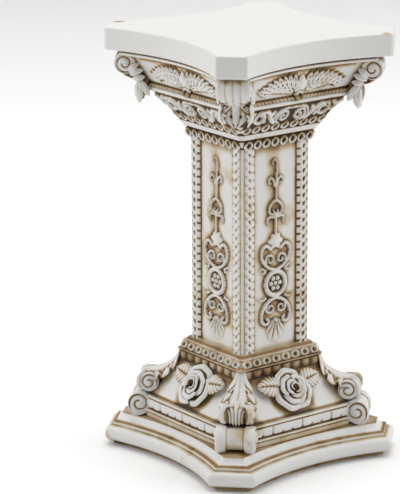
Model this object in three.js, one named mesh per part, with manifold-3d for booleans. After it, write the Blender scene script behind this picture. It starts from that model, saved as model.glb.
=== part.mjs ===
// A small square pedestal in the manner of a Roman column, cast in one piece and painted antique white.
// Millimetres, +Z up, origin at the middle of the underside. Face 0 looks towards -Y; u runs to the right
// along a face, k straight out from the axis and z up, so a point of face 0 is (u, -k, z).
import * as THREE from 'three';
import { mergeVertices } from 'three/addons/utils/BufferGeometryUtils.js';
import Module from 'manifold-3d';

const wasm = await Module();
wasm.setup();

// Driving heights
const HEIGHT = 310;
const FOOT_TOP = 3.5;
const TORUS_TOP = 14.6;
const BLOCK_BOTTOM = 22.3;
const FRIEZE_BOTTOM = 28;
const FRIEZE_TOP = 38.5;
const TONGUE_BOTTOM = 64.5;
const BASE_BEADS_BOTTOM = 71.5;
const BASE_BEADS_TOP = 78.5;
const SHAFT_BOTTOM = 81.4;
const SHAFT_TOP = 231.2;
const NECK_BEADS_TOP = 237.5;
const NECK_BAND_TOP = 242.8;
const SCROLLS_BOTTOM = 250.5;
const FRIEZE_FILLET = 264.6;
const COVE_BOTTOM = 267.4;
const COVE_TOP = 288.4;
const SLAB_BOTTOM = 293.6;

// Driving half widths, at the middle of a side
const FOOT_HALF = 68.4;
const FRIEZE_HALF = 60;
const FIELD_FOOT_HALF = 55;
const FIELD_TOP_HALF = 39.2;
const FIELD_CUT = 14;
const TONGUE_HALF = 37;
const TONGUE_TOP_HALF = 36.4;
const BASE_BEADS_HALF = 37.2;
const BASE_BEADS_TOP_HALF = 34.4;
const SHAFT_FOOT_HALF = 31.8;
const SHAFT_HALF = 30.6;
const NECK_FOOT_HALF = 32.2;
const NECK_HALF = 33.8;
const NECK_BAND_HALF = 37.4;
const SCROLLS_STEP = 0.6;
const SCROLLS_HALF = 41.4;
const SCROLLS_TOP_HALF = 52.6;
const FRIEZE_FILLET_HALF = 55.6;
const COVE_HALF = 53.8;
const COVE_SPREAD = 8;
const COVE_FLARE = 9;
const COVE_CUT = 10;
const SLAB_HALF = 65.2;

// Hollowed sides and cut corners of the two spreading slabs
const FOOT_FLARE = 10;
const FOOT_CUT = 16.7;
const BLOCK_CORNER = 105;
const SLAB_FLARE = 14.3;
const SLAB_CUT = 14.8;
const TORUS_SWELL = 5.5;
const FILLET_HEIGHT = 2.3;
const SLAB_ROUND = 1.3;
const SHAFT_CHAMFER = 2.2;
const BAND_CHAMFER = 2.5;
const NECK_CHAMFER = 3;

// Corner scrolls: distance of the roll's axis from the pedestal's axis, its height, radius and half length,
// and its profile as shares of radius and half length, with an eye in the hollow of each end
const PLAIN_BOBBIN = [[0, -1.08], [0.42, -0.9], [1, -1], [0.84, 0], [1, 1], [0.42, 0.9], [0, 1.08]];
const PADDED_BOBBIN = [
  [0, -1.08], [0.42, -0.9], [1, -1], [1, -0.5], [0.8, -0.3],
  [0.8, 0.3], [1, 0.5], [1, 1], [0.42, 0.9], [0, 1.08],
];
const LOW_ROLL = { s: 79.4, z: 32.2, radius: 8.8, half: 13.5, profile: PADDED_BOBBIN };
const LEAF_ROLL = { s: 72.6, z: 47.8, radius: 7.2, half: 11.8, profile: PLAIN_BOBBIN };
const HIGH_ROLL = { s: 87, z: 283.4, radius: 8.6, half: 11.5, profile: PLAIN_BOBBIN };

// Carving
const SINK = 0.8;
const PANEL_HALF = 19.4;
const PANEL_DEPTH = 1.4;
const STEM_WIDTH = 2.6;
const STEM_HEIGHT = 2;
const BEAD_EYE = 2.4;
const BEAD_DEPTH = 1.6;
const BEAD_SIDES = 4;
const NECK_BEADS = { count: 8, pitch: 8.5, y: 3.25 };
const SCROLL_BEADS = { count: 9, pitch: 8.6, y: 4.4 };
const BASE_BEADS = { count: 8, pitch: 8.7, y: 3.7 };
const TONGUES = { count: 8, pitch: 8.2, y: 3.5 };
const TONGUE_LEAF = { length: 6, width: 6.6, height: 2.2, angle: Math.PI / 2 };
const NOTCHES = { count: 9, pitch: 9.2, y: 2.6 };
const NOTCH_LEAF = { length: 4.6, width: 2.6, height: 1.8, angle: Math.PI / 2 };
const BORDER_LEAFLETS = 7;
const BORDER_WIDTH = 5.2;
const BORDER_HEIGHT = 1.2;
const BORDER_LEAN = 0.45;
const FAN_LEAVES = 3;
const ROSE_PETALS = 5;
const ROSE_FOOT = { k: 55, z: 41.5 };
const ROSE_HEAD = { k: 41, z: 62.5 };
const ROSE_UP = 14;
const ROSE_RINGS = [[14.4, -SINK], [13.4, 3], [9, 3.4], [8, 7.2], [4, 5.4]];
const ROLL_SIDES = 7;

// The ornaments of a shaft panel by place and size: those on its middle line, then those that come in pairs
const FINIAL = { x: 0, y: 204, length: 32, width: 2.6, height: 2.2, angle: Math.PI / 2 };
const POD = { x: 0, y: 161, length: 12, width: 11, height: 2.8, angle: 0 };
const PALMETTE = { x: 0, y: 95, length: 18, width: 9, height: 2.6, angle: Math.PI / 2 };
const MEDALLION = { x: 0, y: 129.5, radius: 10, height: 2.4, sides: 7 };
const PAIRED_LEAVES = [
  { x: 4, y: 204.6, length: 7, width: 4.4, height: 1.8, angle: 0.8 },
  { x: 3.6, y: 185.4, length: 9.6, width: 6, height: 2.2, angle: -0.9 },
  { x: 4.6, y: 175, length: 9.5, width: 4.6, height: 2, angle: -1 },
  { x: 4.2, y: 149, length: 7, width: 4.6, height: 2.2, angle: 0.7 },
  { x: 4.2, y: 110.4, length: 7, width: 4.6, height: 2.2, angle: -0.7 },
];
const UPPER_LYRE = [[5, 155.4], [11, 156.6], [11.6, 147.6], [3.4, 140.2]];
const LOWER_LYRE = [[3.4, 118.6], [11.6, 111.4], [11, 101.6], [6, 102.4]];
const LYRE_STEPS = 3;

// The neck's scrolled frieze, the spray in the cove and the leaves of the rose, in pairs
const NECK_SPIRAL = { x: 7.2, y: 7.4, outer: 6.2, inner: 2.6, turns: 0.95, steps: 5, height: 2.4 };
const NECK_STEM = [[13, 1.6], [22, 9.8], [30, 12.4], [32.6, 6.4], [26.5, 5]];
const NECK_STEM_WIDTH = 2.8;
const COVE_FLOWER = { x: 0, y: 9.4, length: 11, width: 11, height: 4, angle: Math.PI / 4 };
const COVE_BUD = { x: 0, y: 1.6, length: 7, width: 5.4, height: 3.2, angle: Math.PI / 2 };
const ROSE_LEAF = { x: 18, y: 3.6, length: 22, width: 13, height: 3, angle: 0.3 };

// The corner leaves, ring by ring: distance out, height, half width and thickness; and one lobe to each side
const BASE_LEAF = [[51.5, 72, 5, 6], [55.5, 64.5, 8, 8], [62, 58, 10.5, 9], [72, 54, 11.5, 9]];
const BASE_LOBE = { across: 10.6, s: 55.5, z: 56, length: 16, tilt: 0.9 };
const CROWN_LEAF = [
  [87, 287.5, 9, 14], [85, 276, 9.5, 14], [79.6, 268, 7, 11], [79.8, 261.5, 9, 8], [78.6, 253.6, 1.4, 2],
];
const CROWN_LOBE = { across: 9.6, s: 77.5, z: 275, length: 15, tilt: 0.6 };
const LOBE_WIDTH = 6.4;
const LOBE_HEIGHT = 3.4;
const LOBE_TURN = 0.7;

const UP = new THREE.Vector3(0, 0, 1);
const FACES = 4;
const SIDES = [1, -1];
const QUARTER = Math.PI / 2;
const CORNER_TURN = Math.PI / 4;
const WELD = 1e-4;
const SPREAD_STEPS = 4;
const TORUS_STEPS = 4;
const STRAIGHT_STEPS = 1;
const COVE_STEPS = 2;
const COVE_SIDE_STEPS = 2;

// A closed body from rings of points that all have the same count; the ends are closed by fans
function loft(rings) {
  const count = rings[0].length;
  const points = rings.flat();
  const index = [];
  for (let row = 0; row + 1 < rings.length; row += 1) {
    for (let i = 0; i < count; i += 1) {
      const a = row * count + i;
      const b = row * count + (i + 1) % count;
      index.push(a, b, a + count, b, b + count, a + count);
    }
  }
  for (const [row, ring] of [[0, rings[0]], [rings.length - 1, rings.at(-1)]]) {
    const centre = points.length;
    points.push(ring.reduce((sum, p) => sum.add(p), new THREE.Vector3()).divideScalar(count));
    for (let i = 0; i < count; i += 1) {
      const a = row * count + i;
      const b = row * count + (i + 1) % count;
      index.push(...(row === 0 ? [b, a, centre] : [a, b, centre]));
    }
  }
  return new THREE.BufferGeometry().setFromPoints(points).setIndex(index);
}

// A welded closed body for joining and cutting; a body wound inside out is turned round
function solid(geometry) {
  const bare = new THREE.BufferGeometry();
  bare.setAttribute('position', geometry.getAttribute('position'));
  bare.setIndex(geometry.index);
  const welded = mergeVertices(bare, WELD);
  const vertProperties = new Float32Array(welded.attributes.position.array);
  const corners = welded.index.array;
  const corner = (n) => new THREE.Vector3().fromArray(vertProperties, 3 * n);
  const kept = [];
  let volume = 0;
  for (let i = 0; i < corners.length; i += 3) {
    const [a, b, c] = corners.slice(i, i + 3);
    if (a !== b && b !== c && c !== a) {
      kept.push([a, b, c]);
      volume += corner(a).dot(corner(b).cross(corner(c)));
    }
  }
  const wound = volume < 0 ? kept.map(([a, b, c]) => [a, c, b]) : kept;
  const triVerts = new Uint32Array(wound.flat());
  return new wasm.Manifold(new wasm.Mesh({ numProp: 3, vertProperties, triVerts }));
}

// One level of the core: height, half width at the middle of a side, how far the side's ends stand
// further out than its middle, and how much of the sharp corner is cut off
const level = (z, half, flare, cut) => ({ z, half, flare, cut });

// The ring of a level: each side is a shallow hollow curve, k = half + flare (u / reach)^2
function ring({ z, half, flare, cut }, steps) {
  const reach = half + flare - cut;
  const points = [];
  for (let face = 0; face < FACES; face += 1) {
    for (let i = 0; i <= steps; i += 1) {
      const along = 2 * i / steps - 1;
      const out = half + flare * along * along;
      points.push(new THREE.Vector3(reach * along, -out, z).applyAxisAngle(UP, face * QUARTER));
    }
  }
  return points;
}

// The spreading plinth: foot, swelling torus, fillet and the sweep up to the block, as offsets of the foot
function plinth() {
  const offset = (z, d) => level(z, FOOT_HALF + d, FOOT_FLARE + 0.3 * d, FOOT_CUT + 1.2 * d);
  const levels = [offset(0, 0), offset(FOOT_TOP, 0)];
  const middle = (FOOT_TOP + TORUS_TOP) / 2;
  const rise = (TORUS_TOP - FOOT_TOP) / 2;
  for (let i = 0; i <= TORUS_STEPS; i += 1) {
    const turn = Math.PI * (i / TORUS_STEPS - 0.5);
    const swell = TORUS_SWELL * Math.sqrt(Math.cos(turn) * 0.92 + 0.08);
    levels.push(offset(middle + rise * Math.sin(turn), swell));
  }
  const filletTop = TORUS_TOP + FILLET_HEIGHT;
  levels.push(offset(TORUS_TOP, 0.3), offset(filletTop, 0.3), offset(filletTop, -1.6));
  levels.push(offset(filletTop + 2, -3), offset(BLOCK_BOTTOM, -6));
  return loft(levels.map((l) => ring(l, SPREAD_STEPS)));
}

// The block and its notched frieze, which stands back between two fillets
function blockLevels() {
  const block = (z, proud) => {
    const half = FRIEZE_HALF + proud;
    return level(z, half, 0, 2 * half - BLOCK_CORNER);
  };
  const lowFillet = [FRIEZE_BOTTOM - 1, FRIEZE_BOTTOM + 1];
  const highFillet = [FRIEZE_TOP - 1.8, FRIEZE_TOP];
  return [
    block(TORUS_TOP, 1.6), block(lowFillet[0], 1.6),
    ...lowFillet.map((z) => block(z, 2.6)),
    block(lowFillet[1], 0), block(highFillet[0], 0),
    ...highFillet.map((z) => block(z, 1)),
  ];
}

// The straight-sided trunk: block, sloping field, bead band, shaft and flaring neck
function trunk() {
  const square = (chamfer) => (z, half) => level(z, half, 0, chamfer);
  const band = square(BAND_CHAMFER);
  const shaft = square(SHAFT_CHAMFER);
  const neck = square(NECK_CHAMFER);
  const levels = [
    ...blockLevels(),
    level(FRIEZE_TOP, FIELD_FOOT_HALF, 0, FIELD_CUT), level(TONGUE_BOTTOM, FIELD_TOP_HALF, 0, NECK_CHAMFER),
    band(TONGUE_BOTTOM, TONGUE_HALF), band(BASE_BEADS_BOTTOM, TONGUE_TOP_HALF),
    band(BASE_BEADS_BOTTOM, BASE_BEADS_HALF), band(BASE_BEADS_TOP, BASE_BEADS_TOP_HALF),
    band(SHAFT_BOTTOM, SHAFT_FOOT_HALF), shaft(SHAFT_BOTTOM, SHAFT_HALF), shaft(SHAFT_TOP, SHAFT_HALF),
    neck(SHAFT_TOP, NECK_FOOT_HALF), neck(NECK_BEADS_TOP, NECK_HALF), neck(NECK_BEADS_TOP, NECK_HALF + 1),
    neck(NECK_BAND_TOP, NECK_BAND_HALF), neck(NECK_BAND_TOP, NECK_BAND_HALF - SCROLLS_STEP),
    neck(SCROLLS_BOTTOM, SCROLLS_HALF), level(FRIEZE_FILLET, SCROLLS_TOP_HALF, 0, 8),
    level(FRIEZE_FILLET, FRIEZE_FILLET_HALF - 0.6, 0, 10), level(COVE_BOTTOM, FRIEZE_FILLET_HALF, 0, 12),
    level(COVE_BOTTOM, FRIEZE_FILLET_HALF - 1.4, 0, 12),
    level(COVE_BOTTOM + 4, FRIEZE_FILLET_HALF - 1, 0, 12),
  ];
  return loft(levels.map((l) => ring(l, STRAIGHT_STEPS)));
}

// The hollow cove under the slab, spreading from the square neck to the slab's hollowed outline
function cove() {
  const foot = COVE_BOTTOM + 1;
  const rise = COVE_TOP + 1 - foot;
  const levels = Array.from({ length: COVE_STEPS + 1 }, (_, i) => {
    const up = i / COVE_STEPS;
    const sweep = up ** 1.5;
    return level(foot + rise * up, COVE_HALF + COVE_SPREAD * sweep, COVE_FLARE * sweep, COVE_CUT);
  });
  return loft(levels.map((l) => ring(l, COVE_SIDE_STEPS)));
}

// The slab with softened edges, on a thin fillet of its own outline
function slab() {
  const fillet = (z, inset) => level(z, SLAB_HALF - 2 - inset, SLAB_FLARE - 4.3, SLAB_CUT - 3);
  const edge = (z, inset) => level(z, SLAB_HALF - inset, SLAB_FLARE - 0.3 * inset, SLAB_CUT - 0.6 * inset);
  const gap = SLAB_BOTTOM - 1.4;
  const levels = [
    fillet(COVE_TOP, 0), fillet(gap, 0), fillet(gap, 1.2), fillet(SLAB_BOTTOM, 1.2),
    edge(SLAB_BOTTOM, SLAB_ROUND), edge(SLAB_BOTTOM + SLAB_ROUND, 0),
    edge(HEIGHT - SLAB_ROUND, 0), edge(HEIGHT, SLAB_ROUND),
  ];
  return loft(levels.map((l) => ring(l, SPREAD_STEPS)));
}

// A flat working plane on face 0, from (k, z) at its foot to (k, z) at its head: x runs along the face,
// y up the slope and z straight out of the surface
function slope(footK, footZ, headK, headZ) {
  const along = new THREE.Vector3(1, 0, 0);
  const up = new THREE.Vector3(0, footK - headK, headZ - footZ).normalize();
  const out = new THREE.Vector3().crossVectors(along, up);
  return new THREE.Matrix4().makeBasis(along, up, out).setPosition(0, -footK, footZ);
}

const upright = (k, z) => slope(k, z, k, z + 1);

// A carved stem: a ridge of triangular section along a curve drawn on the working plane
function stem(points, steps, width = STEM_WIDTH, height = STEM_HEIGHT) {
  const curve = new THREE.CatmullRomCurve3(points.map(([x, y]) => new THREE.Vector3(x, y, 0)));
  const section = new THREE.Shape([
    new THREE.Vector2(SINK, -width / 2), new THREE.Vector2(SINK, width / 2), new THREE.Vector2(-height, 0),
  ]);
  return new THREE.ExtrudeGeometry(section, { extrudePath: curve, steps, bevelEnabled: false });
}

// A spiral stem from its outer end in to its eye: the radius shrinks evenly with the angle
function spiral({ x, y, outer, inner, turns, steps, height }, side) {
  const points = Array.from({ length: steps + 1 }, (_, i) => {
    const angle = 2 * Math.PI * side * turns * i / steps - QUARTER;
    const radius = outer + (inner - outer) * i / steps;
    return [side * x + radius * Math.cos(angle), y + radius * Math.sin(angle)];
  });
  return stem(points, steps, STEM_WIDTH, height);
}

// The eye of a ring bead: a round pit, its mouth on the surface
function eye(x, y) {
  return new THREE.ConeGeometry(BEAD_EYE, BEAD_DEPTH + SINK, BEAD_SIDES).rotateX(-QUARTER)
    .translate(x, y, (SINK - BEAD_DEPTH) / 2);
}

// A medallion: a round rim about a sunk rosette
function medallion({ x, y, radius, height, sides }) {
  const profile = [
    new THREE.Vector2(0, -SINK), new THREE.Vector2(radius, -SINK), new THREE.Vector2(radius * 0.82, height),
    new THREE.Vector2(radius * 0.55, 0.3), new THREE.Vector2(0, height),
  ];
  return new THREE.LatheGeometry(profile, sides).rotateX(QUARTER).translate(x, y, 0);
}

// A pointed leaf: a low four-sided point half sunk in the surface, its long axis turned by an angle
function leaf({ x, y, length, width, height, angle }) {
  return new THREE.SphereGeometry(1, 4, 2).rotateZ(QUARTER)
    .scale(length / 2, width / 2, height).rotateZ(angle).translate(x, y, 0);
}

// The same leaf to the right (side 1) or mirrored to the left (side -1)
const sideLeaf = (size, side) => leaf({ ...size, x: side * size.x, angle: side * size.angle });

// The places of a row of like ornaments, centred on the face
const row = ({ count, pitch }) => Array.from({ length: count }, (_, i) => (i - (count - 1) / 2) * pitch);
const eyeRow = (beads) => row(beads).map((x) => eye(x, beads.y));
const leafRow = (places, size) => row(places).map((x) => leaf({ ...size, x, y: places.y }));

// The candelabra on a shaft panel, from the hooked stem at the top to the palmette at the foot
function candelabra() {
  const pairs = SIDES.flatMap((side) => [
    ...PAIRED_LEAVES.map((size) => sideLeaf(size, side)),
    ...[UPPER_LYRE, LOWER_LYRE].map((points) => stem(points.map(([x, y]) => [side * x, y]), LYRE_STEPS)),
  ]);
  return [leaf(FINIAL), medallion(MEDALLION), leaf(POD), leaf(PALMETTE), ...pairs];
}

// The raised borders of the shaft: slanting leaflets up both edges of each panel
function border() {
  const pitch = (SHAFT_TOP - SHAFT_BOTTOM - 8) / BORDER_LEAFLETS;
  const middle = (SHAFT_TOP + SHAFT_BOTTOM) / 2;
  const x = (PANEL_HALF + SHAFT_HALF) / 2 - 1;
  const size = { x, length: pitch * 0.92, width: BORDER_WIDTH, height: BORDER_HEIGHT };
  return SIDES.flatMap((side) => row({ count: BORDER_LEAFLETS, pitch }).map((along) => (
    leaf({ ...size, x: side * x, y: middle + along, angle: QUARTER - side * BORDER_LEAN }))));
}

// The scrolled frieze of the neck: two counter-turning spirals and an S stem to each side
function neckScrolls() {
  return SIDES.flatMap((side) => [
    spiral(NECK_SPIRAL, side),
    stem(NECK_STEM.map(([x, y]) => [side * x, y]), LYRE_STEPS, NECK_STEM_WIDTH, STEM_WIDTH),
  ]);
}

// The spray in the cove: a flower over a bud, and leaves fanned out to both sides, the higher the shorter
function coveSpray() {
  const made = [leaf(COVE_FLOWER), leaf(COVE_BUD)];
  for (let i = 0; i < FAN_LEAVES; i += 1) {
    const size = { x: 21 - 3.6 * i, y: 5.4 + 3.4 * i, length: 27 - 4.5 * i, angle: 0.1 + 0.34 * i };
    made.push(...SIDES.map((side) => sideLeaf({ ...size, width: 6.4, height: 2.8 }, side)));
  }
  return made;
}

// The rose on the sloping field: rings of petals about a bud, each ring turned against the last, with a
// leaf to each side; a ring's radius waves once for every petal
function rose() {
  const petalRings = ROSE_RINGS.map(([radius, out], turn) => (
    Array.from({ length: 2 * ROSE_PETALS }, (_, i) => {
      const angle = Math.PI * i / ROSE_PETALS;
      const waved = radius * (1 + 0.07 * Math.cos(ROSE_PETALS * angle + Math.PI * Math.floor(turn / 2)));
      return new THREE.Vector3(waved * Math.cos(angle), waved * Math.sin(angle), out);
    })));
  return [loft(petalRings), ...SIDES.map((side) => sideLeaf(ROSE_LEAF, side))]
    .map((geometry) => geometry.translate(0, ROSE_UP, 0));
}

// A scroll across a corner: a bobbin on a level axis. It is made where a corner is turned to face -Y
function roll({ s, z, radius, half, profile }) {
  const bobbin = profile.map(([share, along]) => new THREE.Vector2(share * radius, along * half));
  return new THREE.LatheGeometry(bobbin, ROLL_SIDES).rotateZ(QUARTER).applyMatrix4(upright(s, z));
}

// A leaf down a corner: rings of a fluted section, each given by its distance out, height, half width and
// thickness, and set square to the leaf's run
function cornerLeaf(stations) {
  const flutes = [[-1, 0], [-0.5, 0.22], [0, 0], [0.5, 0.22], [1, 0], [0, -1]];
  return loft(stations.map(([s, z, half, thickness], i) => {
    const ahead = stations[Math.min(i + 1, stations.length - 1)];
    const behind = stations[Math.max(i - 1, 0)];
    const run = new THREE.Vector2(ahead[0] - behind[0], ahead[1] - behind[1]).normalize();
    return flutes.map(([across, lift]) => (
      new THREE.Vector3(half * across, -(s - run.y * lift * thickness), z + run.x * lift * thickness)));
  }));
}

// The side lobes of a corner leaf, standing out to both sides
const sideLobes = ({ across, s, z, length, tilt }) => SIDES.map((side) => (
  leaf({ x: 0, y: 0, length, width: LOBE_WIDTH, height: LOBE_HEIGHT, angle: tilt })
    .rotateX(QUARTER).rotateZ(side * LOBE_TURN).translate(side * across, -s, z)));

// The acanthus leaf down each base corner ends in its scroll, over the lower scroll
const baseCorner = () => [cornerLeaf(BASE_LEAF), roll(LOW_ROLL), roll(LEAF_ROLL), ...sideLobes(BASE_LOBE)];

// The leaf under each corner of the slab: a scroll above, a pinched waist and a hanging tip
const crownCorner = () => [cornerLeaf(CROWN_LEAF), roll(HIGH_ROLL), ...sideLobes(CROWN_LOBE)];

const onPlane = ([plane, made]) => made.map((geometry) => geometry.applyMatrix4(plane));

// What stands out on one face, each group on its own working plane
function faceCarving() {
  return [
    [upright(SHAFT_HALF - PANEL_DEPTH, 0), candelabra()],
    [upright(SHAFT_HALF, 0), border()],
    [slope(SCROLLS_HALF, SCROLLS_BOTTOM, SCROLLS_TOP_HALF, FRIEZE_FILLET), neckScrolls()],
    [slope(COVE_HALF + 0.6, COVE_BOTTOM + 2, COVE_HALF + 6.8, COVE_TOP), coveSpray()],
    [slope(TONGUE_HALF, TONGUE_BOTTOM, TONGUE_TOP_HALF, BASE_BEADS_BOTTOM), leafRow(TONGUES, TONGUE_LEAF)],
    [slope(ROSE_FOOT.k, ROSE_FOOT.z, ROSE_HEAD.k, ROSE_HEAD.z), rose()],
  ].flatMap(onPlane);
}

// What is cut into one face: the shaft's panel, the eyes of the three bead rows and the gaps of the frieze
function faceCuts() {
  const panel = new THREE.BoxGeometry(2 * PANEL_HALF, SHAFT_TOP - SHAFT_BOTTOM, 2 * PANEL_DEPTH);
  const scrollStep = NECK_BAND_HALF - SCROLLS_STEP;
  return [
    [upright(SHAFT_HALF, (SHAFT_TOP + SHAFT_BOTTOM) / 2), [panel]],
    [slope(NECK_FOOT_HALF, SHAFT_TOP, NECK_HALF, NECK_BEADS_TOP), eyeRow(NECK_BEADS)],
    [slope(scrollStep, NECK_BAND_TOP, SCROLLS_HALF, SCROLLS_BOTTOM), eyeRow(SCROLL_BEADS)],
    [slope(BASE_BEADS_HALF, BASE_BEADS_BOTTOM, BASE_BEADS_TOP_HALF, BASE_BEADS_TOP), eyeRow(BASE_BEADS)],
    [upright(FRIEZE_HALF, FRIEZE_BOTTOM + 1), leafRow(NOTCHES, NOTCH_LEAF)],
  ].flatMap(onPlane);
}

// Four copies round the axis, the first turned by the start angle
function around(make, start) {
  return Array.from({ length: FACES }, (_, face) => (
    make().map((geometry) => geometry.rotateZ(start + face * QUARTER)))).flat();
}

function pedestalGeometry() {
  const core = wasm.Manifold.union([plinth(), trunk(), cove(), slab()].map(solid));
  const cut = core.subtract(wasm.Manifold.union(around(faceCuts, 0).map(solid)));
  const corners = [baseCorner, crownCorner].flatMap((make) => around(make, CORNER_TURN));
  const mesh = wasm.Manifold.union([cut, ...[...around(faceCarving, 0), ...corners].map(solid)]).getMesh();
  const geometry = new THREE.BufferGeometry();
  geometry.setAttribute('position', new THREE.BufferAttribute(new Float32Array(mesh.vertProperties), 3));
  geometry.setIndex(new THREE.BufferAttribute(new Uint32Array(mesh.triVerts), 1));
  geometry.computeVertexNormals();
  return geometry;
}

const antiqueWhite = new THREE.MeshStandardMaterial({ color: 0xd9d5c9, roughness: 0.62, metalness: 0 });
const pedestal = new THREE.Mesh(pedestalGeometry(), antiqueWhite);
pedestal.name = 'pedestal';

const part = new THREE.Group();
part.add(pedestal);

export default part;
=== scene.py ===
"""Looks of a small cast pedestal in the manner of a Roman column, built over its packed solid.

Every surface is a grid of points worked out by formula in millimetres and turned into a mesh in metres.
A side of the pedestal is drawn in u (along the side), k (straight out from the axis) and z (up).
A corner is drawn in t (across the corner), s (out along the diagonal) and z.
Each vertex carries a number which says how much of the brown wash has stayed there and where shade is
painted.
"""

from types import SimpleNamespace

import bpy
import numpy as np
from bpy.props import FloatProperty, FloatVectorProperty, IntProperty, PointerProperty
from mathutils import Matrix


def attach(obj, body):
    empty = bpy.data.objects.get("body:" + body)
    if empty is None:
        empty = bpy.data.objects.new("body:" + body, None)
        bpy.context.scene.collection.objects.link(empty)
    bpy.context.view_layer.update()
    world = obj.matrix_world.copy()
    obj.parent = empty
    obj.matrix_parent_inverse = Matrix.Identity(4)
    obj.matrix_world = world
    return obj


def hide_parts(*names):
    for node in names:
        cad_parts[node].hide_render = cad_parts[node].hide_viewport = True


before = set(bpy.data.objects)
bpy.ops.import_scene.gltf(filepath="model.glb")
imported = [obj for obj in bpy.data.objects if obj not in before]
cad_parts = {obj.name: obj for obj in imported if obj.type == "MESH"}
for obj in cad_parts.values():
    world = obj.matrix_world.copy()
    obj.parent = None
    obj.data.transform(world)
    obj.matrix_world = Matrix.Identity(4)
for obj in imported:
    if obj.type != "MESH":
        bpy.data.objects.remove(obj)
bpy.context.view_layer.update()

bl_info = {
    "name": "Carved pedestal",
    "version": (1, 0, 0),
    "blender": (4, 5, 0),
    "location": "3D View > Sidebar > Pedestal",
    "description": "Builds a cast pedestal with carved relief and an antique wash",
    "category": "Add Mesh",
}

MM = 0.001
NODE = "pedestal"
BODY = "root"
SIDES = (1, -1)
QUARTER = np.pi / 2
WELD = 1e-3


# Settings


def length(name, description, millimetres):
    """A length setting, written here in millimetres and kept in metres."""
    return FloatProperty(name=name, description=description, default=millimetres * MM, unit="LENGTH")


def share(name, description, default):
    """A setting between nothing and everything."""
    return FloatProperty(
        name=name, description=description, default=default, min=0.0, max=1.0, subtype="FACTOR"
    )


def power(name, description, watts):
    """The power setting of a light."""
    return FloatProperty(name=name, description=description, default=watts, unit="POWER")


def bearing(name, description, degrees):
    """An angle setting, written here in degrees and kept in radians."""
    return FloatProperty(name=name, description=description, default=np.radians(degrees), subtype="ANGLE")


def colour(name, description, default):
    """A colour setting in linear light."""
    return FloatVectorProperty(
        name=name, description=description, default=default, size=3, min=0.0, max=1.0, subtype="COLOR"
    )


class PedestalSizes(bpy.types.PropertyGroup):
    """Heights and half widths of the pedestal's mouldings."""

    height: length("Height", "From the floor to the top of the slab", 310)
    slab_bottom: length("Slab underside", "Height of the slab's underside", 293.6)
    slab_half: length("Slab half width", "From the axis to the middle of a slab side", 65.2)
    slab_flare: length("Slab flare", "How much further out the ends of a slab side stand", 14.3)
    slab_cut: length("Slab corner", "How much of the slab's sharp corner is cut off", 14.8)
    cove_bottom: length("Cove foot", "Height of the foot of the cove", 267.4)
    cove_top: length("Cove top", "Height of the top of the cove", 290.2)
    scrolls_bottom: length("Scroll frieze foot", "Height of the foot of the neck's scrolls", 250.5)
    neck_fillet: length("Neck fillet", "Height of the fillet over the neck's scrolls", 264.6)
    shaft_top: length("Shaft top", "Height of the top of the shaft", 231.2)
    shaft_bottom: length("Shaft foot", "Height of the foot of the shaft", 81.4)
    shaft_half: length("Shaft half width", "From the axis to a face of the shaft", 30.6)
    shaft_cut: length("Shaft corner", "How much of the shaft's sharp corner is cut off", 2.2)
    panel_half: length("Panel half width", "Half width of the sunk panel on the shaft", 19.4)
    panel_depth: length("Panel depth", "Depth of the sunk panel on the shaft", 1.4)
    band_bottom: length("Bead band foot", "Height of the foot of the base's bead band", 71.5)
    field_top: length("Field top", "Height of the top of the sloping field", 64.5)
    field_top_half: length("Field top half width", "From the axis to the top of the field", 39.2)
    field_foot_half: length("Field foot half width", "From the axis to the foot of the field", 58.5)
    frieze_top: length("Frieze top", "Height of the top of the notched frieze", 38.5)
    frieze_bottom: length("Frieze foot", "Height of the foot of the notched frieze", 28)
    frieze_half: length("Frieze half width", "From the axis to the ground of the frieze", 60)
    block_corner: length("Block corner", "Half width and reach of the block's sides added together", 105)
    foot_half: length("Foot half width", "From the axis to the middle of a side of the foot", 68.4)
    foot_flare: length("Foot flare", "How much further out the ends of a foot side stand", 10)
    foot_cut: length("Foot corner", "How much of the foot's sharp corner is cut off", 16.7)
    torus_swell: length("Torus swell", "How far the torus stands out from the foot", 5.5)
    pitch: length("Grid pitch", "Distance between grid points on the carved sides", 0.64)
    plain_pitch: length("Plain grid pitch", "Distance between grid points on the plain slab and plinth", 2.4)


class CornerSizes(bpy.types.PropertyGroup):
    """The scrolls across the corners: distance out, height, radius and half length of each roll."""

    low_s: length("Low roll out", "Distance of the lower base roll from the axis", 79.4)
    low_z: length("Low roll height", "Height of the lower base roll", 32.2)
    low_radius: length("Low roll radius", "Radius of the lower base roll", 8.8)
    low_half: length("Low roll half length", "Half length of the lower base roll", 14.4)
    leaf_s: length("Leaf roll out", "Distance of the base leaf's roll from the axis", 72.6)
    leaf_z: length("Leaf roll height", "Height of the base leaf's roll", 47.8)
    leaf_radius: length("Leaf roll radius", "Radius of the base leaf's roll", 7.2)
    leaf_half: length("Leaf roll half length", "Half length of the base leaf's roll", 11.8)
    high_s: length("High roll out", "Distance of the crown roll from the axis", 87.6)
    high_z: length("High roll height", "Height of the crown roll", 284.4)
    high_radius: length("High roll radius", "Radius of the crown roll", 7.8)
    high_half: length("High roll half length", "Half length of the crown roll", 11.5)
    around: IntProperty(name="Roll steps", description="Grid points round a roll", default=60, min=12)


class WashLook(bpy.types.PropertyGroup):
    """Colours of the paint and of the brown wash that stays in the hollows; the wash colours also paint
    shade.
    """

    ivory: colour("Ivory", "Paint on the heights", (0.64, 0.635, 0.615))
    cream: colour("Cream", "Thin wash over the paint", (0.50, 0.42, 0.285))
    tan: colour("Tan", "Wash in shallow hollows", (0.25, 0.142, 0.044))
    umber: colour("Umber", "Wash in deep hollows", (0.030, 0.015, 0.005))
    roughness: share("Roughness", "Roughness of the paint", 0.5)
    mottle: share("Mottle", "How unevenly the wash was wiped off", 0.65)
    stain: share("Stain", "Wash left in patches on the heights below the slab", 0.3)


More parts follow.
